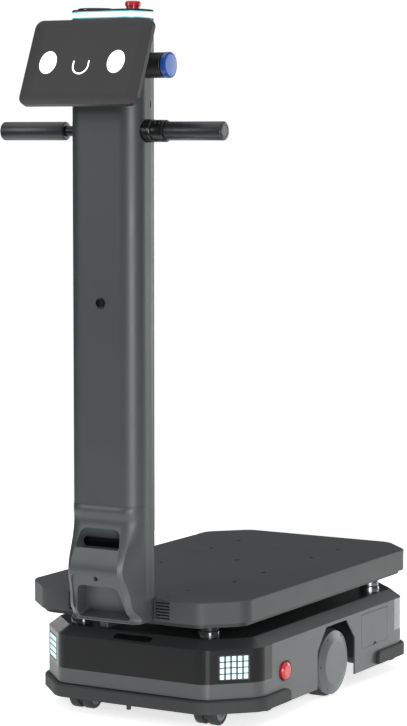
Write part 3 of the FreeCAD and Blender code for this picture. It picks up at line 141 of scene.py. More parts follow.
def carve(piece, cutter):
    makeActive(piece)
    step = piece.modifiers.new("carve", "BOOLEAN")
    step.operation = "DIFFERENCE"
    step.solver = "EXACT"
    step.object = cutter
    bpy.ops.object.modifier_apply(modifier=step.name)
    bpy.data.objects.remove(cutter)
    return piece


def softEdges(piece, width, steps=2, angle=35):
    makeActive(piece)
    step = piece.modifiers.new("edges", "BEVEL")
    step.width = width * mm
    step.segments = steps
    step.limit_method = "ANGLE"
    step.angle_limit = math.radians(angle)
    step.use_clamp_overlap = True
    bpy.ops.object.modifier_apply(modifier=step.name)
    return piece


def smooth(piece, angle=32):
    makeActive(piece)
    bpy.ops.object.shade_smooth_by_angle(angle=math.radians(angle))
    return piece


def addTurned(name, start, axis, profile, steps=64):
    # the profile's (radius, distance along) points drawn one by one, then spun about the axis
    clearSelection()
    bpy.ops.mesh.primitive_plane_add(size=0.01)
    piece = settle(name)
    bpy.ops.object.mode_set(mode="EDIT")
    bpy.ops.mesh.select_mode(type="VERT")
    bpy.ops.mesh.select_all(action="SELECT")
    bpy.ops.mesh.merge(type="CENTER")
    firstRadius, firstAlong = profile[0]
    bpy.ops.transform.translate(value=(firstRadius * mm, 0, firstAlong * mm))
    for (r0, a0), (r1, a1) in zip(profile, profile[1:]):
        bpy.ops.mesh.extrude_vertices_move(
            TRANSFORM_OT_translate={"value": ((r1 - r0) * mm, 0, (a1 - a0) * mm)})
    bpy.ops.mesh.select_all(action="SELECT")
    bpy.ops.mesh.spin(steps=steps, angle=math.tau, center=(0, 0, 0), axis=(0, 0, 1))
    bpy.ops.mesh.select_all(action="SELECT")
    bpy.ops.mesh.remove_doubles(threshold=0.01 * mm)
    bpy.ops.mesh.normals_make_consistent(inside=False)
    leaveEdit()
    makeActive(piece)
    piece.rotation_euler = turnTo(axis)
    piece.location = Vector(start) * mm
    bpy.ops.object.transform_apply(location=True, rotation=True, scale=True)
    return piece


def placePiece(piece, turn=(0, 0, 0), move=(0, 0, 0)):
    makeActive(piece)
    piece.rotation_euler = [math.radians(angle) for angle in turn]
    piece.location = Vector(move) * mm
    bpy.ops.object.transform_apply(location=True, rotation=True, scale=True)
    return piece


def copyPiece(piece, name):
    makeActive(piece)
    bpy.ops.object.duplicate()
    twin = bpy.context.object
    twin.name = name
    twin.data.name = name
    return twin


def mirrorPiece(piece, name):
    twin = copyPiece(piece, name)
    twin.scale.x = -1
    bpy.ops.object.transform_apply(location=True, rotation=True, scale=True)
    bpy.ops.object.mode_set(mode="EDIT")
    bpy.ops.mesh.select_all(action="SELECT")
    bpy.ops.mesh.normals_make_consistent(inside=False)
    leaveEdit()
    return twin


def joinPieces(name, pieces):
    makeActive(pieces[0])
    for piece in pieces[1:]:
        piece.select_set(True)
    bpy.ops.object.join()
    whole = bpy.context.object
    whole.name = name
    whole.data.name = name
    return whole


def splitAt(piece, point, normal):
    # a cut line all round, with nothing removed
    pick(piece, "VERT", lambda v: True)
    bpy.ops.mesh.bisect(plane_co=Vector(point) * mm, plane_no=normal)
    leaveEdit()
    return piece


def facing(x, y, z, least=0.9):
    way = Vector((x, y, z)).normalized()
    return lambda centre, normal: normal.dot(way) > least


def paint(piece, material, test):
    piece.data.materials.append(material)
    index = len(piece.data.materials) - 1
    for face in piece.data.polygons:
        if test(face.center / mm, face.normal):
            face.material_index = index
    return piece


def finishPiece(piece, body, nodes, material):
    smooth(piece)
    piece.data.materials.clear()
    piece.data.materials.append(material)
    for face in piece.data.polygons:
        face.material_index = 0
    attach(piece, body)
    if nodes:
        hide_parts(*nodes)
    return piece


# materials

# what all materials share; the relief's depth is in millimetres
surface = {"grainDetail": 3.0, "cloudsPerMetre": 14.0, "cloudDetail": 4.0, "reliefDepth": 0.1,
           "coatRoughness": 0.06}


def linear(code):
    # sRGB hex to linear colour
    values = [int(code[i:i + 2], 16) / 255 for i in (1, 3, 5)]
    spread = [v / 12.92 if v <= 0.04045 else ((v + 0.055) / 1.055) ** 2.4 for v in values]
    return (*spread, 1.0)


def addNode(tree, kind, settings=None, inputs=None, links=None):
    # settings are the node's own values, inputs its sockets' values, links its sockets' sources
    node = tree.nodes.new(kind)
    for key, value in (settings or {}).items():
        setattr(node, key, value)
    for key, value in (inputs or {}).items():
        node.inputs[key].default_value = value
    for key, source in (links or {}).items():
        tree.links.new(source, node.inputs[key])
    return node


def moulded(name, code, rough, grainMm=0.6, bump=0.05, mottle=0.03, coat=0.0, metallic=0.0,
            ior=1.46):
    # a surface with a fine grain, a faint cloudiness in colour and a little change of gloss;
    # no grain is drawn finer than 0.4 mm, because it wouldn't show
    material = bpy.data.materials.new(name)
    material.use_nodes = True
    tree = material.node_tree
    shader = tree.nodes["Principled BSDF"]
    place = addNode(tree, "ShaderNodeTexCoord")
    grain = addNode(tree, "ShaderNodeTexNoise",
                    inputs={"Scale": 1 / (grainMm * mm), "Detail": surface["grainDetail"]},
                    links={"Vector": place.outputs["Object"]})
    cloud = addNode(tree, "ShaderNodeTexNoise",
                    inputs={"Scale": surface["cloudsPerMetre"], "Detail": surface["cloudDetail"]},
                    links={"Vector": place.outputs["Object"]})
    base = linear(code)
    deep = tuple(c * (1 - mottle * 4) for c in base[:3]) + (1.0,)
    colour = addNode(tree, "ShaderNodeMix", settings={"data_type": "RGBA"},
                     links={"Factor": cloud.outputs["Fac"]})
    colour.inputs["A"].default_value = deep
    colour.inputs["B"].default_value = base
    gloss = addNode(tree, "ShaderNodeMapRange",
                    inputs={"To Min": max(rough - 0.05, 0.02), "To Max": min(rough + 0.06, 1.0)},
                    links={"Value": cloud.outputs["Fac"]})
    relief = addNode(tree, "ShaderNodeBump",
                     inputs={"Strength": bump, "Distance": surface["reliefDepth"] * mm},
                     links={"Height": grain.outputs["Fac"]})
    tree.links.new(colour.outputs["Result"], shader.inputs["Base Color"])
    tree.links.new(gloss.outputs["Result"], shader.inputs["Roughness"])
    tree.links.new(relief.outputs["Normal"], shader.inputs["Normal"])
    shader.inputs["Metallic"].default_value = metallic
    if metallic < 0.5:
        shader.inputs["IOR"].default_value = ior
    shader.inputs["Coat Weight"].default_value = coat
    shader.inputs["Coat Roughness"].default_value = surface["coatRoughness"]
    return material


def glowing(name, code, strength, edge):
    # a lit diffuser: an even glow under a clear skin
    material = moulded(name, edge, 0.3, 1.0, 0.02)
    shader = material.node_tree.nodes["Principled BSDF"]
    shader.inputs["Emission Color"].default_value = linear(code)
    shader.inputs["Emission Strength"].default_value = strength
    return material


# injection-moulded ABS, sprayed satin: soft highlights over a fine even grain
bodyPaint = moulded("bodySatinPaint", "#3e4142", 0.42, 0.5, 0.06, 0.02)
# the same paint in darker batches on the column: duller, with a slightly stronger reflection
columnPaint = moulded("columnSatinPaint", "#363a3a", 0.46, 0.5, 0.05, 0.02, ior=1.55)
rearPaint = moulded("rearCoverSatinPaint", "#343838", 0.42, 0.5, 0.05, 0.02, ior=1.5)
# polished cast acrylic: black, with sharp reflections
glossBlack = moulded("blackAcrylic", "#0e0f10", 0.12, 2.0, 0.01, 0.02, coat=0.6, ior=1.49)
# acrylic with a satin hard coat against glare: black, with a faint veil of reflection
panelBlack = moulded("satinBlackAcrylic", "#101111", 0.24, 1.0, 0.02, 0.02, ior=1.28)
# sprayed satin lacquer on the deck: dark grey, with a broad soft sheen
deckBlack = moulded("satinDeckCoat", "#2e3031", 0.34, 1.0, 0.03, 0.02, ior=1.4)
# tinted polycarbonate, coated against glare, for infrared: black, with hardly a reflection
windowBlack = moulded("infraredWindow", "#040405", 0.3, 2.0, 0.0, 0.01, ior=1.2)
# tinted acrylic, polished: dark grey, with a clear shine
smokeGrey = moulded("smokedAcrylic", "#2a2c2e", 0.18, 2.0, 0.01, 0.02, coat=0.4, ior=1.49)
# moulded EPDM rubber: matt, slightly mottled
bumperRubber = moulded("bumperRubber", "#202223", 0.7, 0.8, 0.12, 0.04, ior=1.52)
# vulcanised rubber tyre: matt and nearly black
tyreRubber = moulded("tyreRubber", "#121314", 0.78, 0.8, 0.15, 0.05, ior=1.52)
# turned steel, hard-chromed and brushed: grey metal with a blurred shine
postChrome = moulded("turnedChrome", "#7e8082", 0.3, 0.4, 0.02, 0.01, metallic=1.0)
# zinc-plated turned steel: light grey, slightly cloudy metal
plainSteel = moulded("zincSteel", "#9a9c9e", 0.3, 0.4, 0.04, 0.03, metallic=1.0)
# powder coat on welded steel: black, with a slightly coarser orange peel
frameCoat = moulded("blackPowderCoat", "#141516", 0.55, 1.2, 0.1, 0.03)
# powder coat on aluminium plate: dark satin, with an orange peel 1 mm wide
platformCoat = moulded("platformPowderCoat", "#2e3132", 0.5, 1.0, 0.08, 0.02)
# paint on cast aluminium wheels: lighter than the body, satin
wheelPaint = moulded("wheelCoverPaint", "#4a4d4f", 0.4, 0.5, 0.05, 0.02)
# cast polyurethane tread: dark, half matt
casterRubber = moulded("casterPolyurethane", "#1f2021", 0.6, 0.8, 0.08, 0.04, ior=1.5)
# ABS moulded in a spark-eroded tool: matt, with a leathery grain
blackPlastic = moulded("blackTexturedAbs", "#141516", 0.5, 0.7, 0.12, 0.03)
# moulded ABS coloured in the mass, with a little gloss
stopRed = moulded("stopRedAbs", "#b01f26", 0.32, 0.6, 0.03, 0.02, coat=0.15)
buttonBlue = moulded("buttonBlueAbs", "#1c4490", 0.35, 0.6, 0.03, 0.02, coat=0.15)
blueFace = moulded("buttonFaceAbs", "#4668b0", 0.4, 0.6, 0.03, 0.02, coat=0.1)
# etched cover glass: an even grey with a wide dull reflection
screenBlack = moulded("screenGlass", "#303031", 0.42, 3.0, 0.0, 0.01, ior=1.4)
displayGlass = moulded("litDisplay", "#353536", 0.36, 3.0, 0.0, 0.01, ior=1.4)
# blackened steel: dark, with a dull metal sheen
blackSteel = moulded("blackenedSteel", "#2c2d2f", 0.36, 0.4, 0.04, 0.03, metallic=0.9)
# glass-filled nylon, moulded: black with a sharp narrow highlight
clampBlack = moulded("glassFilledNylon", "#101112", 0.32, 0.7, 0.05, 0.03)
# nitrile rubber sleeve, smooth: grey-black with a long soft highlight
gripRubber = moulded("gripRubber", "#232527", 0.38, 0.7, 0.05, 0.03, ior=1.5)
# moulded nylon hub: light grey, satin
hubGrey = moulded("casterHubNylon", "#5a5d60", 0.45, 0.6, 0.05, 0.03)
# coated optical glass: black with a hard bright spot
lensGlass = moulded("coatedLensGlass", "#08090c", 0.04, 3.0, 0.0, 0.01, coat=0.8, ior=1.6)
# opal acrylic lit from behind, and the lit shapes on the display: an even glow
faceWhite = glowing("displayWhite", "#ffffff", 1.0, "#f4f6f6")
bandCyan = glowing("tintedDiffuser", "#3fb3bd", 0.7, "#5fa9b0")
bandWhite = glowing("bandDiffuser", "#f4ffff", 0.9, "#a8b4b5")
lightWhite = glowing("litDiffuser", "#c8f2f6", 0.85, "#9fb4b6")
# matt white paper under the object, with a glow of its own that keeps the shadow faint
paleFloor = glowing("paleFloor", "#ffffff", 0.7, "#f6f6f6")

slotMaterials = {
    "body_grey": bodyPaint, "column_grey": columnPaint, "cover_grey": rearPaint,
    "gloss_black": glossBlack, "smoke_grey": smokeGrey, "bumper_rubber": bumperRubber,
    "light_white": lightWhite, "post_chrome": postChrome, "frame_steel": frameCoat,
    "platform_alloy": platformCoat, "plain_steel": plainSteel, "wheel_alloy": wheelPaint,
    "tyre_rubber": tyreRubber, "caster_rubber": casterRubber, "black_plastic": blackPlastic,
    "stop_red": stopRed, "button_blue": buttonBlue, "screen_dark": screenBlack,
}

for entry in frame["record"]["subparts"]:
    node = frame["nodes"][entry["node"]]
    node.data.materials.clear()
    node.data.materials.append(slotMaterials[entry["material_slot"]])

# nodes whose finish differs from their slot's usual one
# the underplate's black plastic is partly its own dark finish and partly painted shade, standing
# for the shade under the platform's edge
ownMaterials = {"handle_bar": blackSteel, "platform_underplate": blackPlastic,
                "front_camera": lensGlass, "deck_cover": deckBlack,
                "front_panel": panelBlack, "stop_cups": blackPlastic,
                "front_grilles": platformCoat}
for name, material in ownMaterials.items():
    frame["nodes"][name].data.materials[0] = material
print("materials on all nodes")


# screen

screen = {"middle": (0, -442.0, 1230.4), "tilt": 23.1, "width": 249.6, "height": 165.4,
          "corner": 16.0, "edge": 0.8, "thick": 2.0, "display": (204.0, 131.0), "displayRise": 2.0}


def onScreen(piece):
    return placePiece(piece, (90 - screen["tilt"], 0, 0), screen["middle"])


def makeScreen():
    w, h = screen["width"] / 2, screen["height"] / 2
    pane = addBlock("screenPane", (-w, -h, -screen["thick"]), (w, h, 0))
    roundEdges(pane, upright, screen["corner"], 10)
    dw, dh = (side / 2 for side in screen["display"])
    rise = screen["displayRise"]
    for point, normal in (((-dw, 0, 0), (1, 0, 0)), ((dw, 0, 0), (1, 0, 0)),
                          ((0, rise - dh, 0), (0, 1, 0)), ((0, rise + dh, 0), (0, 1, 0))):
        splitAt(pane, point, normal)
    roundEdges(pane, lambda a, b: a.z > -0.01 and b.z > -0.01 and not inDisplay(a, b),
               screen["edge"], 3)
    onScreen(pane)
    tilt = math.radians(screen["tilt"])
    up = Vector((0, math.sin(tilt), math.cos(tilt)))
    finishPiece(pane, "robot", ["screen_glass", "display_panel"], screenBlack)

    def onDisplay(centre, normal):
        away = centre - Vector(screen["middle"])
        rises = away.dot(up) - rise
        return normal.y < -0.8 and abs(away.x) < dw and abs(rises) < dh

    paint(pane, displayGlass, onDisplay)
    return pane


def inDisplay(a, b):
    # edges of the display's cut lines, which stay sharp
    w, h = screen["width"] / 2 - 1, screen["height"] / 2 - 1
    middle = (a + b) / 2
    return abs(middle.x) < w and abs(middle.y) < h and not nearCorner(middle)


def nearCorner(v):
    w, h, r = screen["width"] / 2, screen["height"] / 2, screen["corner"]
    x, y = abs(v.x) - (w - r), abs(v.y) - (h - r)
    return x > 0 and y > 0 and math.hypot(x, y) > r - 1


litFace = {"eyes": (-79.0, 65.0), "eyeUp": -1.2, "eyeWidth": 36.0, "eyeHeight": 44.0,
           "eyeThick": 0.6, "smile": (-8.0, 1.5), "smileHalf": 16.0, "smileDeep": 25.0,
           "stroke": 1.5, "flatness": 0.14}


def makeFace():
    parts = []
    thick = litFace["eyeThick"]
    for x in litFace["eyes"]:
        eye = addRod("eye", (0, 0, -thick / 2), (0, 0, 1), 1.0, thick, 64)
        roundEdges(eye, lambda a, b: a.z > 0.2 and b.z > 0.2, 0.06, 2)
        makeActive(eye)
        eye.scale = (litFace["eyeWidth"] / 2, litFace["eyeHeight"] / 2, 1)
        parts.append(placePiece(eye, (0, 0, 0), (x, litFace["eyeUp"], 0)))
    clearSelection()
    half, leg = litFace["smileHalf"], litFace["smileDeep"] - litFace["smileHalf"]
    bpy.ops.mesh.primitive_torus_add(major_radius=half * mm, minor_radius=litFace["stroke"] * mm,
                                     major_segments=64, minor_segments=10)
    smile = settle("smile")
    pick(smile, "VERT", lambda v: v.y > 0.1)
    bpy.ops.mesh.delete(type="VERT")
    pick(smile, "EDGE", lambda a, b: a.y > -0.5 and b.y > -0.5)
    bpy.ops.mesh.extrude_region_move(TRANSFORM_OT_translate={"value": (0, leg * mm, 0)})
    bpy.ops.mesh.edge_face_add()
    leaveEdit()
    makeActive(smile)
    smile.scale = (1, 1, litFace["flatness"])
    x, y = litFace["smile"]
    parts.append(placePiece(smile, (0, 0, 0), (x, y - leg, 0)))
    lit = onScreen(joinPieces("screenFace", parts))
    return finishPiece(lit, "robot", [], faceWhite)


makeScreen()
makeFace()
print("screen")


# light matrices at the base's corners, cells on a black board

lights = {"columns": 5, "rows": 4, "cell": (8.2, 9.2), "pitch": (11.5, 11.3), "stand": 0.8,
          "cellFront": 0.05, "cellBack": 1.4, "cellCorner": 0.9,
          "board": (62.0, 48.0), "depth": 2.0, "middleZ": 117.5, "side": 197.0,
          "frontY": -257.0, "rearY": 427.0, "shift": 5.0}


def atCorner(piece, side, front):
    shift = side * (lights["shift"] if front else -lights["shift"])
    placePiece(piece, (0, 0, 0), (shift, 0, 0))
    y = lights["frontY"] if front else lights["rearY"]
    return placePiece(piece, (0, 0, side * (45 if front else 135)),
                      (side * lights["side"], y, lights["middleZ"]))


def isLit(centre, normal):
    # a cell's flat front looks out square to its corner, its sides don't
    side = 1 if centre.x > 0 else -1
    front = -1 if centre.y < 0 else 1
    return normal.dot(Vector((side, front, 0)).normalized()) > 0.9


def makeLights():
    w, h = lights["board"][0] / 2, lights["board"][1] / 2
    board = addBlock("lightBoard", (-w, lights["stand"], -h), (w, lights["depth"], h))
    insetFaces(board, facing(0, -1, 0), 0.8, -0.3)
    cw, ch = lights["cell"][0] / 2, lights["cell"][1] / 2
    cell = addBlock("lightCell", (-cw, lights["cellFront"], -ch), (cw, lights["cellBack"], ch))
    roundEdges(cell, endOn, lights["cellCorner"], 3)
    insetFaces(cell, facing(0, -1, 0), 0.25, 0.0)
    cells = []
    for column in range(lights["columns"]):
        for row in range(lights["rows"]):
            x = (column - (lights["columns"] - 1) / 2) * lights["pitch"][0]
            z = (row - (lights["rows"] - 1) / 2) * lights["pitch"][1]
            cells.append(placePiece(copyPiece(cell, "cell"), (0, 0, 0), (x, 0, z)))
    bpy.data.objects.remove(cell)
    matrix = joinPieces("matrix", cells)
    corners = [(side, front) for side in (-1, 1) for front in (True, False)]
    boards = joinPieces("lightBoards", [atCorner(copyPiece(board, "board"), *c) for c in corners])
    glows = joinPieces("lightCells", [atCorner(copyPiece(matrix, "matrix"), *c) for c in corners])
    bpy.data.objects.remove(board)
    bpy.data.objects.remove(matrix)
    finishPiece(boards, "robot", [], blackPlastic)
    finishPiece(glows, "robot", ["corner_lights"], blackPlastic)
    paint(glows, lightWhite, isLit)


makeLights()
print("corner lights")


# head: light band, ceiling camera, emergency stop

lightBand = {"bottom": 1309.0, "top": 1321.5, "rim": 2.0, "halfWidth": 75.0, "halfDepth": 45.0,
             "corner": 35.0, "wall": 5.0, "middleY": -349.0}


def makeBand():
    low, high, rim = lightBand["bottom"], lightBand["top"], lightBand["rim"]
    w, d, y = lightBand["halfWidth"], lightBand["halfDepth"], lightBand["middleY"]
    wall = lightBand["wall"]
    ring = addBlock("headBand", (-w, y - d, low), (w, y + d, high))
    roundEdges(ring, upright, lightBand["corner"], 14)
    insetFaces(ring, facing(0, 0, 1), wall, 0)
    insetFaces(ring, facing(0, 0, -1), wall, 0)
    insideX, insideY = w - wall - 20.1, d - wall - 0.1

    def core(centre, normal):
        # the inner face above and below, not the narrow ones of the wall round it
        return abs(normal.z) > 0.9 and abs(centre.x) < insideX and abs(centre.y - y) < insideY

    pick(ring, "FACE", core)
    bpy.ops.mesh.bridge_edge_loops()
    leaveEdit()
    splitAt(ring, (0, 0, low + rim), (0, 0, 1))
    splitAt(ring, (0, 0, high - rim), (0, 0, 1))
    finishPiece(ring, "robot", ["light_band"], bandWhite)
    paint(ring, bandCyan, lambda c, n: abs(n.z) < 0.5 and
          (c.z < low + rim or c.z > high - rim))


ceilingDome = {"x": -37.0, "y": -349.0, "bottom": 1325.0, "radius": 32.0, "rise": 3.6,
               "lens": 14.0}


def makeCeilingCamera():
    x, y, low = ceilingDome["x"], ceilingDome["y"], ceilingDome["bottom"]
    radius, rise, lens = ceilingDome["radius"], ceilingDome["rise"], ceilingDome["lens"]
    profile = [(0, 0), (radius, 0), (radius, 1.6), (radius - 0.8, 2.9), (radius - 2.4, rise),
               (26.0, rise), (25.4, 2.8), (18.4, 2.8), (17.8, 3.3), (lens + 0.6, 3.3),
               (lens, 2.4), (11.0, 3.0), (6.0, 3.5), (0, rise)]
    dome = addTurned("ceilingCamera", (x, y, low), (0, 0, 1), profile, 96)
    finishPiece(dome, "robot", ["ceiling_camera"], glossBlack)
    paint(dome, lensGlass, lambda c, n: n.z > 0.2 and math.hypot(c.x - x, c.y - y) < lens)


topStop = {"x": 43.0, "y": -349.0, "bottom": 1312.0, "flare": 1331.0, "top": 1340.5,
           "neck": 12.3, "radius": 14.0}


def makeTopStop():
    neck, radius, low = topStop["neck"], topStop["radius"], topStop["bottom"]
    rise, flare = topStop["top"] - low, topStop["flare"] - low
    profile = [(0, 0), (neck, 0), (neck, flare), (radius - 0.6, flare + 0.2),
               (radius, flare + 0.9), (radius, rise - 3.6),
               (radius - 0.7, rise - 1.9), (radius - 2.2, rise - 0.6), (radius - 4.4, rise),
               (radius - 5.0, rise - 0.3), (radius - 5.6, rise - 0.3), (radius - 6.2, rise),
               (radius - 9.0, rise - 0.5), (0, rise - 0.8)]
    knob = addTurned("topStopHead", (topStop["x"], topStop["y"], low), (0, 0, 1), profile, 64)
    finishPiece(knob, "stop_top", ["stop_head_top"], stopRed)


makeBand()
makeCeilingCamera()
makeTopStop()
print("head")


# blue button

blue = {"middle": (113.5, -349.0, 1224.5), "stem": 18.0, "stemLength": 18.0,
        "radius": 23.4, "length": 10.5}


def makeBlueButton():
    x, y, z = blue["middle"]
    stem, radius, root = blue["stem"], blue["radius"], blue["stemLength"]
    tip = root + blue["length"]
    profile = [(0, 0), (stem, 0), (stem, root), (radius - 0.8, root), (radius, root + 0.8),
               (radius, tip - 3.0), (radius - 0.5, tip - 2.0), (radius - 1.6, tip - 1.6),
               (radius - 2.4, tip - 2.2), (radius - 3.0, tip - 2.2), (radius - 3.3, tip - 0.9),
               (radius - 4.2, tip - 0.1), (radius - 6.0, tip), (0, tip)]
    cap = addTurned("blueButtonCap", (x - root, y, z), (1, 0, 0), profile, 96)
    finishPiece(cap, "button", ["button_cap"], buttonBlue)
    paint(cap, blueFace, lambda c, n: n.x > 0.5 and math.hypot(c.y - y, c.z - z) < radius - 3.1)
    paint(cap, blackPlastic, lambda c, n: c.x < x + 0.01 and
          math.hypot(c.y - y, c.z - z) < stem + 0.1)


makeBlueButton()
print("blue button")


# column plug

plug = {"middle": (0, -391.5, 794.5), "radius": 10.0}


def makePlug():
    radius = plug["radius"]
    profile = [(0, 0), (radius, 0), (radius, 1.8), (radius - 0.7, 2.8), (radius - 1.8, 3.2),
               (radius - 2.6, 3.0), (radius - 3.2, 1.2), (radius - 4.6, 1.2), (radius - 4.9, 2.6),
               (radius - 5.5, 3.0), (2.6, 3.0), (2.4, 2.2), (0, 2.2)]
    cup = addTurned("columnPlug", plug["middle"], (0, -1, 0), profile, 64)
    finishPiece(cup, "robot", ["column_plug"], blackSteel)


makePlug()
print("column plug")


# window and lens in the column's foot

footWindow = {"half": 43.1, "low": 345.9, "high": 362.7, "face": -386.3, "back": -384.0}


def makeFootWindow():
    half, low, high = footWindow["half"], footWindow["low"], footWindow["high"]
    face = footWindow["face"]
    pane = addBlock("footWindow", (-half, face, low), (half, footWindow["back"], high))
    roundEdges(pane, endOn, (high - low) / 2 - 0.3, 12)
    insetFaces(pane, facing(0, -1, 0), 1.1, 0.0)
    insetFaces(pane, facing(0, -1, 0), 0.3, -0.5)
    return finishPiece(pane, "robot", ["foot_sensors"], windowBlack)


footLens = {"middle": (0.0, -414.12, 290.5), "outwards": (0.0, -0.951, -0.309),
            "radius": 4.35, "pocket": 14.0, "face": 7.0}


def makeFootLens():
    r, face = footLens["radius"], footLens["face"]
    outwards = Vector(footLens["outwards"]).normalized()
    start = Vector(footLens["middle"]) - outwards * footLens["pocket"]
    profile = [(0, 0), (r, 0), (r, face + 0.9), (r - 0.3, face + 1.2), (r - 0.9, face + 1.2),
               (r - 1.2, face + 0.4), (r - 1.8, face), (1.4, face + 0.5), (0, face + 0.7)]
    lens = addTurned("footLens", start, outwards, profile, 48)
    finishPiece(lens, "robot", [], blackPlastic)
    paint(lens, lensGlass, lambda c, n: (c - start).cross(outwards).length < r - 1.3)


makeFootWindow()
makeFootLens()
print("foot window and lens")


# handles

# the bar is a CAD node, and what sits on it takes its place and radius from here
handleBar = {"y": -352.7, "z": 1106.6, "radius": 9.5, "clearance": 0.2}
grips = {"radius": 17.0, "tip": 236.5, "leftStart": 99.0, "rightStart": 117.7}


def makeGrip(name, start, length, way):
    r, bar = grips["radius"], handleBar["radius"] + handleBar["clearance"]
    profile = [(0, 6.0), (bar, 6.0), (bar, 0.8), (bar + 0.8, 0), (r - 1.8, 0), (r - 0.5, 0.5),
               (r, 1.6), (r, length - 2.4), (r - 0.4, length - 1.2), (r - 1.2, length - 0.4),
               (r - 2.2, length), (r - 5.0, length), (r - 5.2, length - 1.0),
               (r - 6.2, length - 1.0), (r - 6.4, length - 0.1), (0, length - 0.1)]
    return addTurned(name, (start, handleBar["y"], handleBar["z"]), (way, 0, 0), profile, 72)


def makeGrips():
    leftStart, rightStart, tip = grips["leftStart"], grips["rightStart"], grips["tip"]
    left = makeGrip("leftGrip", -leftStart, tip - leftStart, -1)
    right = makeGrip("rightGrip", rightStart, tip - rightStart, 1)
    pair = joinPieces("handleGrips", [left, right])
    finishPiece(pair, "robot", ["handle_grips"], gripRubber)


clamp = {"start": 62.0, "step": 91.5, "end": 117.7, "radius": 20.8, "endRadius": 20.0,
         "ribs": 14, "ribHalfWidth": 1.6, "slitBottom": -6.5, "slitTop": -4.8}


def makeClamp():
    y, z = handleBar["y"], handleBar["z"]
    start, step, end = clamp["start"], clamp["step"], clamp["end"]
    big, small, half = clamp["radius"], clamp["endRadius"], clamp["ribHalfWidth"]
    full, waist, back = end - start, step - start, end - start - 5.7
    bore = handleBar["radius"] + handleBar["clearance"]
    profile = [(0, 0), (big - 2.6, 0), (big - 1.4, 1.0), (big - 1.4, 5.0), (big - 0.2, 5.8),
               (big - 0.2, 7.2), (big - 1.4, 8.0), (big - 1.4, waist - 8.2),
               (big - 0.2, waist - 7.4),
               (big, waist - 6.6), (big, waist - 2.2), (big - 1.0, waist - 0.8),
               (big - 3.4, waist - 0.4), (big - 3.4, waist + 2.6), (small - 1.0, waist + 3.0),
               (small, waist + 4.0), (small, full - 2.2), (small - 0.8, full - 0.8),
               (small - 2.4, full), (small - 4.6, full), (small - 5.0, full - 1.6),
               (bore + 1.0, full - 1.6), (bore, back), (0, back)]
    collar = addTurned("handleClamp", (start, y, z), (1, 0, 0), profile, 72)
    rib = addBlock("rib", (start + 7, y - half, z + big - 2.0),
                   (step - 7.6, y + half, z + big - 0.05))
    roundEdges(rib, lambda a, b: a.z > z + big - 0.1 and b.z > z + big - 0.1, 0.5, 2)
    ribs = []
    for turn in range(clamp["ribs"]):
        spare = copyPiece(rib, "rib")
        bpy.ops.object.mode_set(mode="EDIT")
        bpy.ops.mesh.select_all(action="SELECT")
        bpy.ops.transform.rotate(value=math.tau * turn / clamp["ribs"], orient_axis="X",
                                 center_override=(0, y * mm, z * mm))
        leaveEdit()
        ribs.append(spare)
    bpy.data.objects.remove(rib)
    slit = addBlock("slit", (step - 10, y - 30, z + clamp["slitBottom"]),
                    (end + 1, y - 14, z + clamp["slitTop"]))
    carve(collar, slit)
    collar = joinPieces("handleClamp", [collar] + ribs)
    finishPiece(collar, "robot", ["handle_clamp"], clampBlack)


clampScrews = {"places": (100.5, 109.7), "y": -365.7, "z": 1120.1, "axis": (0, -0.35, 1),
               "radius": 4.2, "length": 5.4, "rim": 1.2, "socketDeep": 2.2}


def makeClampScrews():
    axis, pair = clampScrews["axis"], []
    for x in clampScrews["places"]:
        lug = addRod("lug", (x, clampScrews["y"], clampScrews["z"]), axis,
                     clampScrews["radius"], clampScrews["length"], 32)
        insetFaces(lug, facing(*axis), clampScrews["rim"], 0.0)
        insetFaces(lug, facing(*axis), 0.4, -clampScrews["socketDeep"])
        pair.append(softEdges(lug, 0.3, 2, 30))
    finishPiece(joinPieces("clampScrews", pair), "robot", [], blackSteel)


makeGrips()
makeClamp()
makeClampScrews()
print("handles")


# posts under the platform

posts = {"front": ((-140.0, -243.0), (140.0, -243.0)),
         "rear": ((-190.0, 329.0), (190.0, 329.0)),
         "deck": 168.0, "top": 199.0, "radius": 19.0, "footRadius": 20.5, "footHeight": 12.5,
         "spigotRadius": 12.0, "spigotLength": 10.0}


def makePost(name, x, y):
    foot, rise, radius = posts["footRadius"], posts["footHeight"], posts["radius"]
    spigot, deck = posts["spigotRadius"], posts["spigotLength"]
    top = deck + posts["top"] - posts["deck"]
    profile = [(0, 0), (spigot, 0), (spigot, deck), (foot, deck),
               (foot, deck + rise - 1.8), (foot - 0.5, deck + rise - 0.7),
               (foot - 1.5, deck + rise), (radius - 0.6, deck + rise),
               (radius - 1.0, deck + rise - 0.5), (radius - 1.0, deck + rise + 0.6),
               (radius, deck + rise + 1.4), (radius, top - 2.0), (radius - 1.0, top), (0, top)]
    return addTurned(name, (x, y, posts["deck"] - deck), (0, 0, 1), profile, 72)


def makePosts():
    front = [makePost("frontPost", x, y) for x, y in posts["front"]]
    rear = [makePost("rearPost", x, y) for x, y in posts["rear"]]
    # the front pair is painted shade: blackened steel with a dark smoked-acrylic foot, dark so
    # that it reads as the shade under the platform, while the rear pair of the same post is chrome
    front = finishPiece(joinPieces("frontPostsInPaintedShade", front), "robot", [], blackSteel)
    paint(front, smokeGrey, lambda c, n: c.z < posts["deck"] + posts["footHeight"] + 0.01)
    finishPiece(joinPieces("rearPosts", rear), "robot", ["support_posts"],
                postChrome)


makePosts()
print("posts")


# caster wheels and tyres

casters = {"x": 138.5, "frontY": -220.0, "rearY": 403.0, "trail": 13.0, "radius": 25.0,
           "web": 7.0, "gap": 1.0, "width": 20.0, "hub": 18.1}


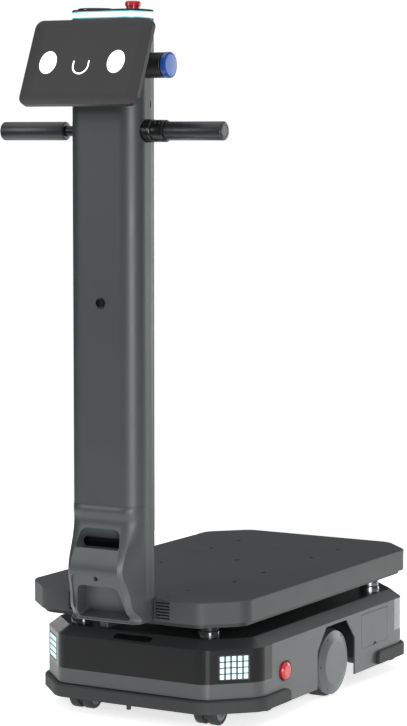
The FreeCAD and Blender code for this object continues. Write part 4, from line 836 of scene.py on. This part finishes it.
def makeCasterWheel(name, x, y, side):
    start = x + side * (casters["web"] / 2 + casters["gap"])
    r, w = casters["radius"], casters["width"]
    profile = [(0, 2.4), (r - 8.0, 2.4), (r - 7.0, 0.4), (r - 6.0, 0), (r - 2.0, 0),
               (r - 0.6, 0.8), (r, 2.4), (r, w - 4.4), (r - 0.7, w - 2.2), (r - 2.4, w - 0.6),
               (r - 5.0, w), (r - 6.6, w), (r - 7.0, w - 1.2), (r - 7.8, w - 1.2),
               (r - 8.2, w - 0.5), (r - 16.0, w - 0.5), (r - 16.8, w - 1.8), (4.6, w - 1.8),
               (4.2, w - 0.7), (0, w - 0.7)]
    return addTurned(name, (start, y, r), (side, 0, 0), profile, 64)


def makeCasters():
    for place, x, y in (("front_left", -1, "frontY"), ("front_right", 1, "frontY"),
                        ("rear_left", -1, "rearY"), ("rear_right", 1, "rearY")):
        cx, cy = x * casters["x"], casters[y] - casters["trail"]
        pair = [makeCasterWheel("wheel", cx, cy, side) for side in (-1, 1)]
        wheels = joinPieces("casterPair_" + place, pair)
        finishPiece(wheels, "wheels_" + place, ["caster_wheels_" + place],
                    casterRubber)
        paint(wheels, hubGrey, lambda c, n:
              math.hypot(c.y - cy, c.z - casters["radius"]) < casters["hub"])


tyres = {"outer": 221.0, "width": 36.0, "y": 91.0, "z": 67.5, "radius": 67.5, "depth": 12.0,
         "grooves": (12.0, 18.0, 24.0), "grooveDeep": 1.5}


def makeTyre():
    r, w = tyres["radius"], tyres["width"]
    rim, deep = r - tyres["depth"], tyres["grooveDeep"]
    profile = [(rim, 0), (r - 6.0, 0), (r - 2.6, 0.8), (r - 0.7, 2.8), (r, 5.5)]
    for middle in tyres["grooves"]:
        profile += [(r, middle - 0.9), (r - deep, middle - 0.7), (r - deep, middle + 0.7),
                    (r, middle + 0.9)]
    profile += [(r, w - 5.5), (r - 0.7, w - 2.8), (r - 2.6, w - 0.8), (r - 6.0, w), (rim, w),
                (rim, 0)]
    start = (tyres["outer"] - w, tyres["y"], tyres["z"])
    return addTurned("tyreRight", start, (1, 0, 0), profile, 120)


makeCasters()
rightTyre = makeTyre()
leftTyre = mirrorPiece(rightTyre, "tyreLeft")
finishPiece(rightTyre, "drive_right", ["tyre_right"], tyreRubber)
finishPiece(leftTyre, "drive_left", ["tyre_left"], tyreRubber)
print("wheels")


# inserts and screws in the platform, and the mark on the service flap

inserts = {"top": 248.0, "middleY": 113.0, "spacingX": 234.0, "spacingsY": (200.0, 434.0),
           "radius": 5.5, "bore": 3.4, "length": 12.0, "threads": 7}
plateScrews = {"places": ((-86.0, -302.0), (86.0, -302.0), (-86.0, -228.0), (86.0, -228.0)),
               "radius": 3.3, "socket": 1.7, "length": 10.0}


def makeInserts():
    r, bore, deep = inserts["radius"], inserts["bore"], inserts["length"]
    places = [(0.0, inserts["middleY"])]
    for spacing in inserts["spacingsY"]:
        for sx in (-0.5, 0.5):
            for sy in (-0.5, 0.5):
                places.append((sx * inserts["spacingX"], inserts["middleY"] + sy * spacing))
    profile = [(0, 0), (r, 0), (r, deep - 0.5), (r - 0.4, deep - 0.1), (bore + 0.6, deep - 0.1),
               (bore, deep - 0.7)]
    for turn in range(inserts["threads"]):
        profile += [(bore + 0.25, deep - 1.2 - turn), (bore, deep - 1.7 - turn)]
    profile += [(bore, 2.0), (0, 2.0)]
    fixings = [addTurned("insert", (x, y, inserts["top"] - deep), (0, 0, 1), profile, 32)
               for x, y in places]
    r, socket, deep = plateScrews["radius"], plateScrews["socket"], plateScrews["length"]
    profile = [(0, 0), (r, 0), (r, deep - 0.5), (r - 0.4, deep - 0.1), (socket + 0.2, deep - 0.1),
               (socket, deep - 2.0), (0, deep - 2.2)]
    fixings += [addTurned("screw", (x, y, inserts["top"] - deep), (0, 0, 1), profile, 32)
                for x, y in plateScrews["places"]]
    whole = joinPieces("platformInserts", fixings)
    finishPiece(whole, "robot", ["platform_fixings"], blackSteel)


flapMark = {"face": 237.0, "y": 257.0, "z": 108.5, "height": 13.0, "width": 6.0, "thick": 0.2,
            "cuts": (-0.16, 0.16)}


def makeFlapMark():
    # a plain lightning bolt, the common sign for a charging socket
    tall, wide = flapMark["height"] / 2, flapMark["width"] / 2
    bolt = addBlock("flapMark", (-wide, -tall, 0), (wide, tall, flapMark["thick"]))
    for level in flapMark["cuts"]:
        splitAt(bolt, (0, level * tall, 0), (0, 1, 0))
    # each corner of the cut block, as a share of its half size, and where it goes
    corners = {(1, 1): (0.35, 1), (-1, 1): (-0.15, 1), (1, 0.16): (0.1, 0.16),
               (-1, 0.16): (-1.0, -0.1), (1, -0.16): (1.0, 0.1), (-1, -0.16): (-0.1, -0.16),
               (1, -1): (0.1, -1), (-1, -1): (-0.4, -1)}
    for (x, y), (newX, newY) in corners.items():
        pick(bolt, "VERT", lambda v: abs(v.x - x * wide) < 0.01 and abs(v.y - y * tall) < 0.01)
        bpy.ops.transform.translate(value=((newX - x) * wide * mm, (newY - y) * tall * mm, 0))
        leaveEdit()
    placePiece(bolt, (90, 0, 90), (flapMark["face"], flapMark["y"], flapMark["z"]))
    finishPiece(bolt, "service_flap", [], hubGrey)


makeInserts()
makeFlapMark()
print("platform inserts and flap mark")


# floor, light and camera, in metres

backdrop = {"size": 3.2, "middle": (0, 0.1, 0)}


def addFloor():
    clearSelection()
    bpy.ops.mesh.primitive_plane_add(size=backdrop["size"], location=backdrop["middle"])
    floor = settle("floor")
    floor.data.materials.append(paleFloor)


# each lamp's place, what it is aimed at, its width and height, and its watts
lamps = {
    "rightFrontBox": ((2.8, -2.95, 0.9), (0, 0, 0.6), 1.2, 1.7, 115),
    "rightRearBox": ((1.6, 3.6, 1.0), (0, 0, 0.7), 1.4, 2.0, 50),
    "leftFrontBox": ((-2.6, -3.6, 2.2), (0, 0, 0.5), 1.6, 1.6, 60),
    "leftRearBox": ((-3.2, 2.5, 1.3), (0, 0, 0.3), 0.9, 0.5, 10),
}


def addLamp(name, place, target, width, height, power):
    lamp = bpy.data.lights.new(name, "AREA")
    lamp.shape = "RECTANGLE"
    lamp.size = width
    lamp.size_y = height
    lamp.energy = power
    holder = bpy.data.objects.new(name, lamp)
    bpy.context.scene.collection.objects.link(holder)
    holder.location = place
    holder.rotation_euler = (Vector(target) - Vector(place)).to_track_quat("-Z", "Y").to_euler()


sky = {"strength": 2.5, "spread": 100, "height": 5}


def addSky():
    # a wide soft sun straight above evens out the pale floor
    sun = bpy.data.lights.new("topSun", "SUN")
    sun.energy = sky["strength"]
    sun.angle = math.radians(sky["spread"])
    holder = bpy.data.objects.new("topSun", sun)
    bpy.context.scene.collection.objects.link(holder)
    holder.location = (0, 0, sky["height"])


room = {"reflected": (0.05, 0.053, 0.056, 1.0), "behind": (1.0, 1.0, 1.0, 1.0)}


def addRoom():
    # white behind the object, and a dim even room for its reflections
    world = bpy.data.worlds.new("softRoom")
    world.use_nodes = True
    tree = world.node_tree
    rays = addNode(tree, "ShaderNodeLightPath")
    shade = addNode(tree, "ShaderNodeMix", settings={"data_type": "RGBA"},
                    links={"Factor": rays.outputs["Is Camera Ray"]})
    shade.inputs["A"].default_value = room["reflected"]
    shade.inputs["B"].default_value = room["behind"]
    tree.links.new(shade.outputs["Result"], tree.nodes["Background"].inputs["Color"])
    bpy.context.scene.world = world


view = {"place": (2.44246, -4.22747, 1.09711), "azimuth": 30.14, "down": 5.177,
        "lens": 124.09, "near": 0.1, "far": 100}


def addCamera():
    camera = bpy.data.objects.new("camera", bpy.data.cameras.new("camera"))
    bpy.context.scene.collection.objects.link(camera)
    a, e = math.radians(view["azimuth"]), math.radians(view["down"])
    ahead = Vector((-math.sin(a) * math.cos(e), math.cos(a) * math.cos(e), -math.sin(e)))
    camera.location = view["place"]
    camera.rotation_euler = ahead.to_track_quat("-Z", "Y").to_euler()
    camera.data.lens = view["lens"]
    camera.data.clip_start = view["near"]
    camera.data.clip_end = view["far"]
    bpy.context.scene.camera = camera


addFloor()
for name, settings in lamps.items():
    addLamp(name, *settings)
addSky()
addRoom()
bpy.context.scene.view_settings.view_transform = "Standard"
addCamera()
print("floor, lamps and camera")
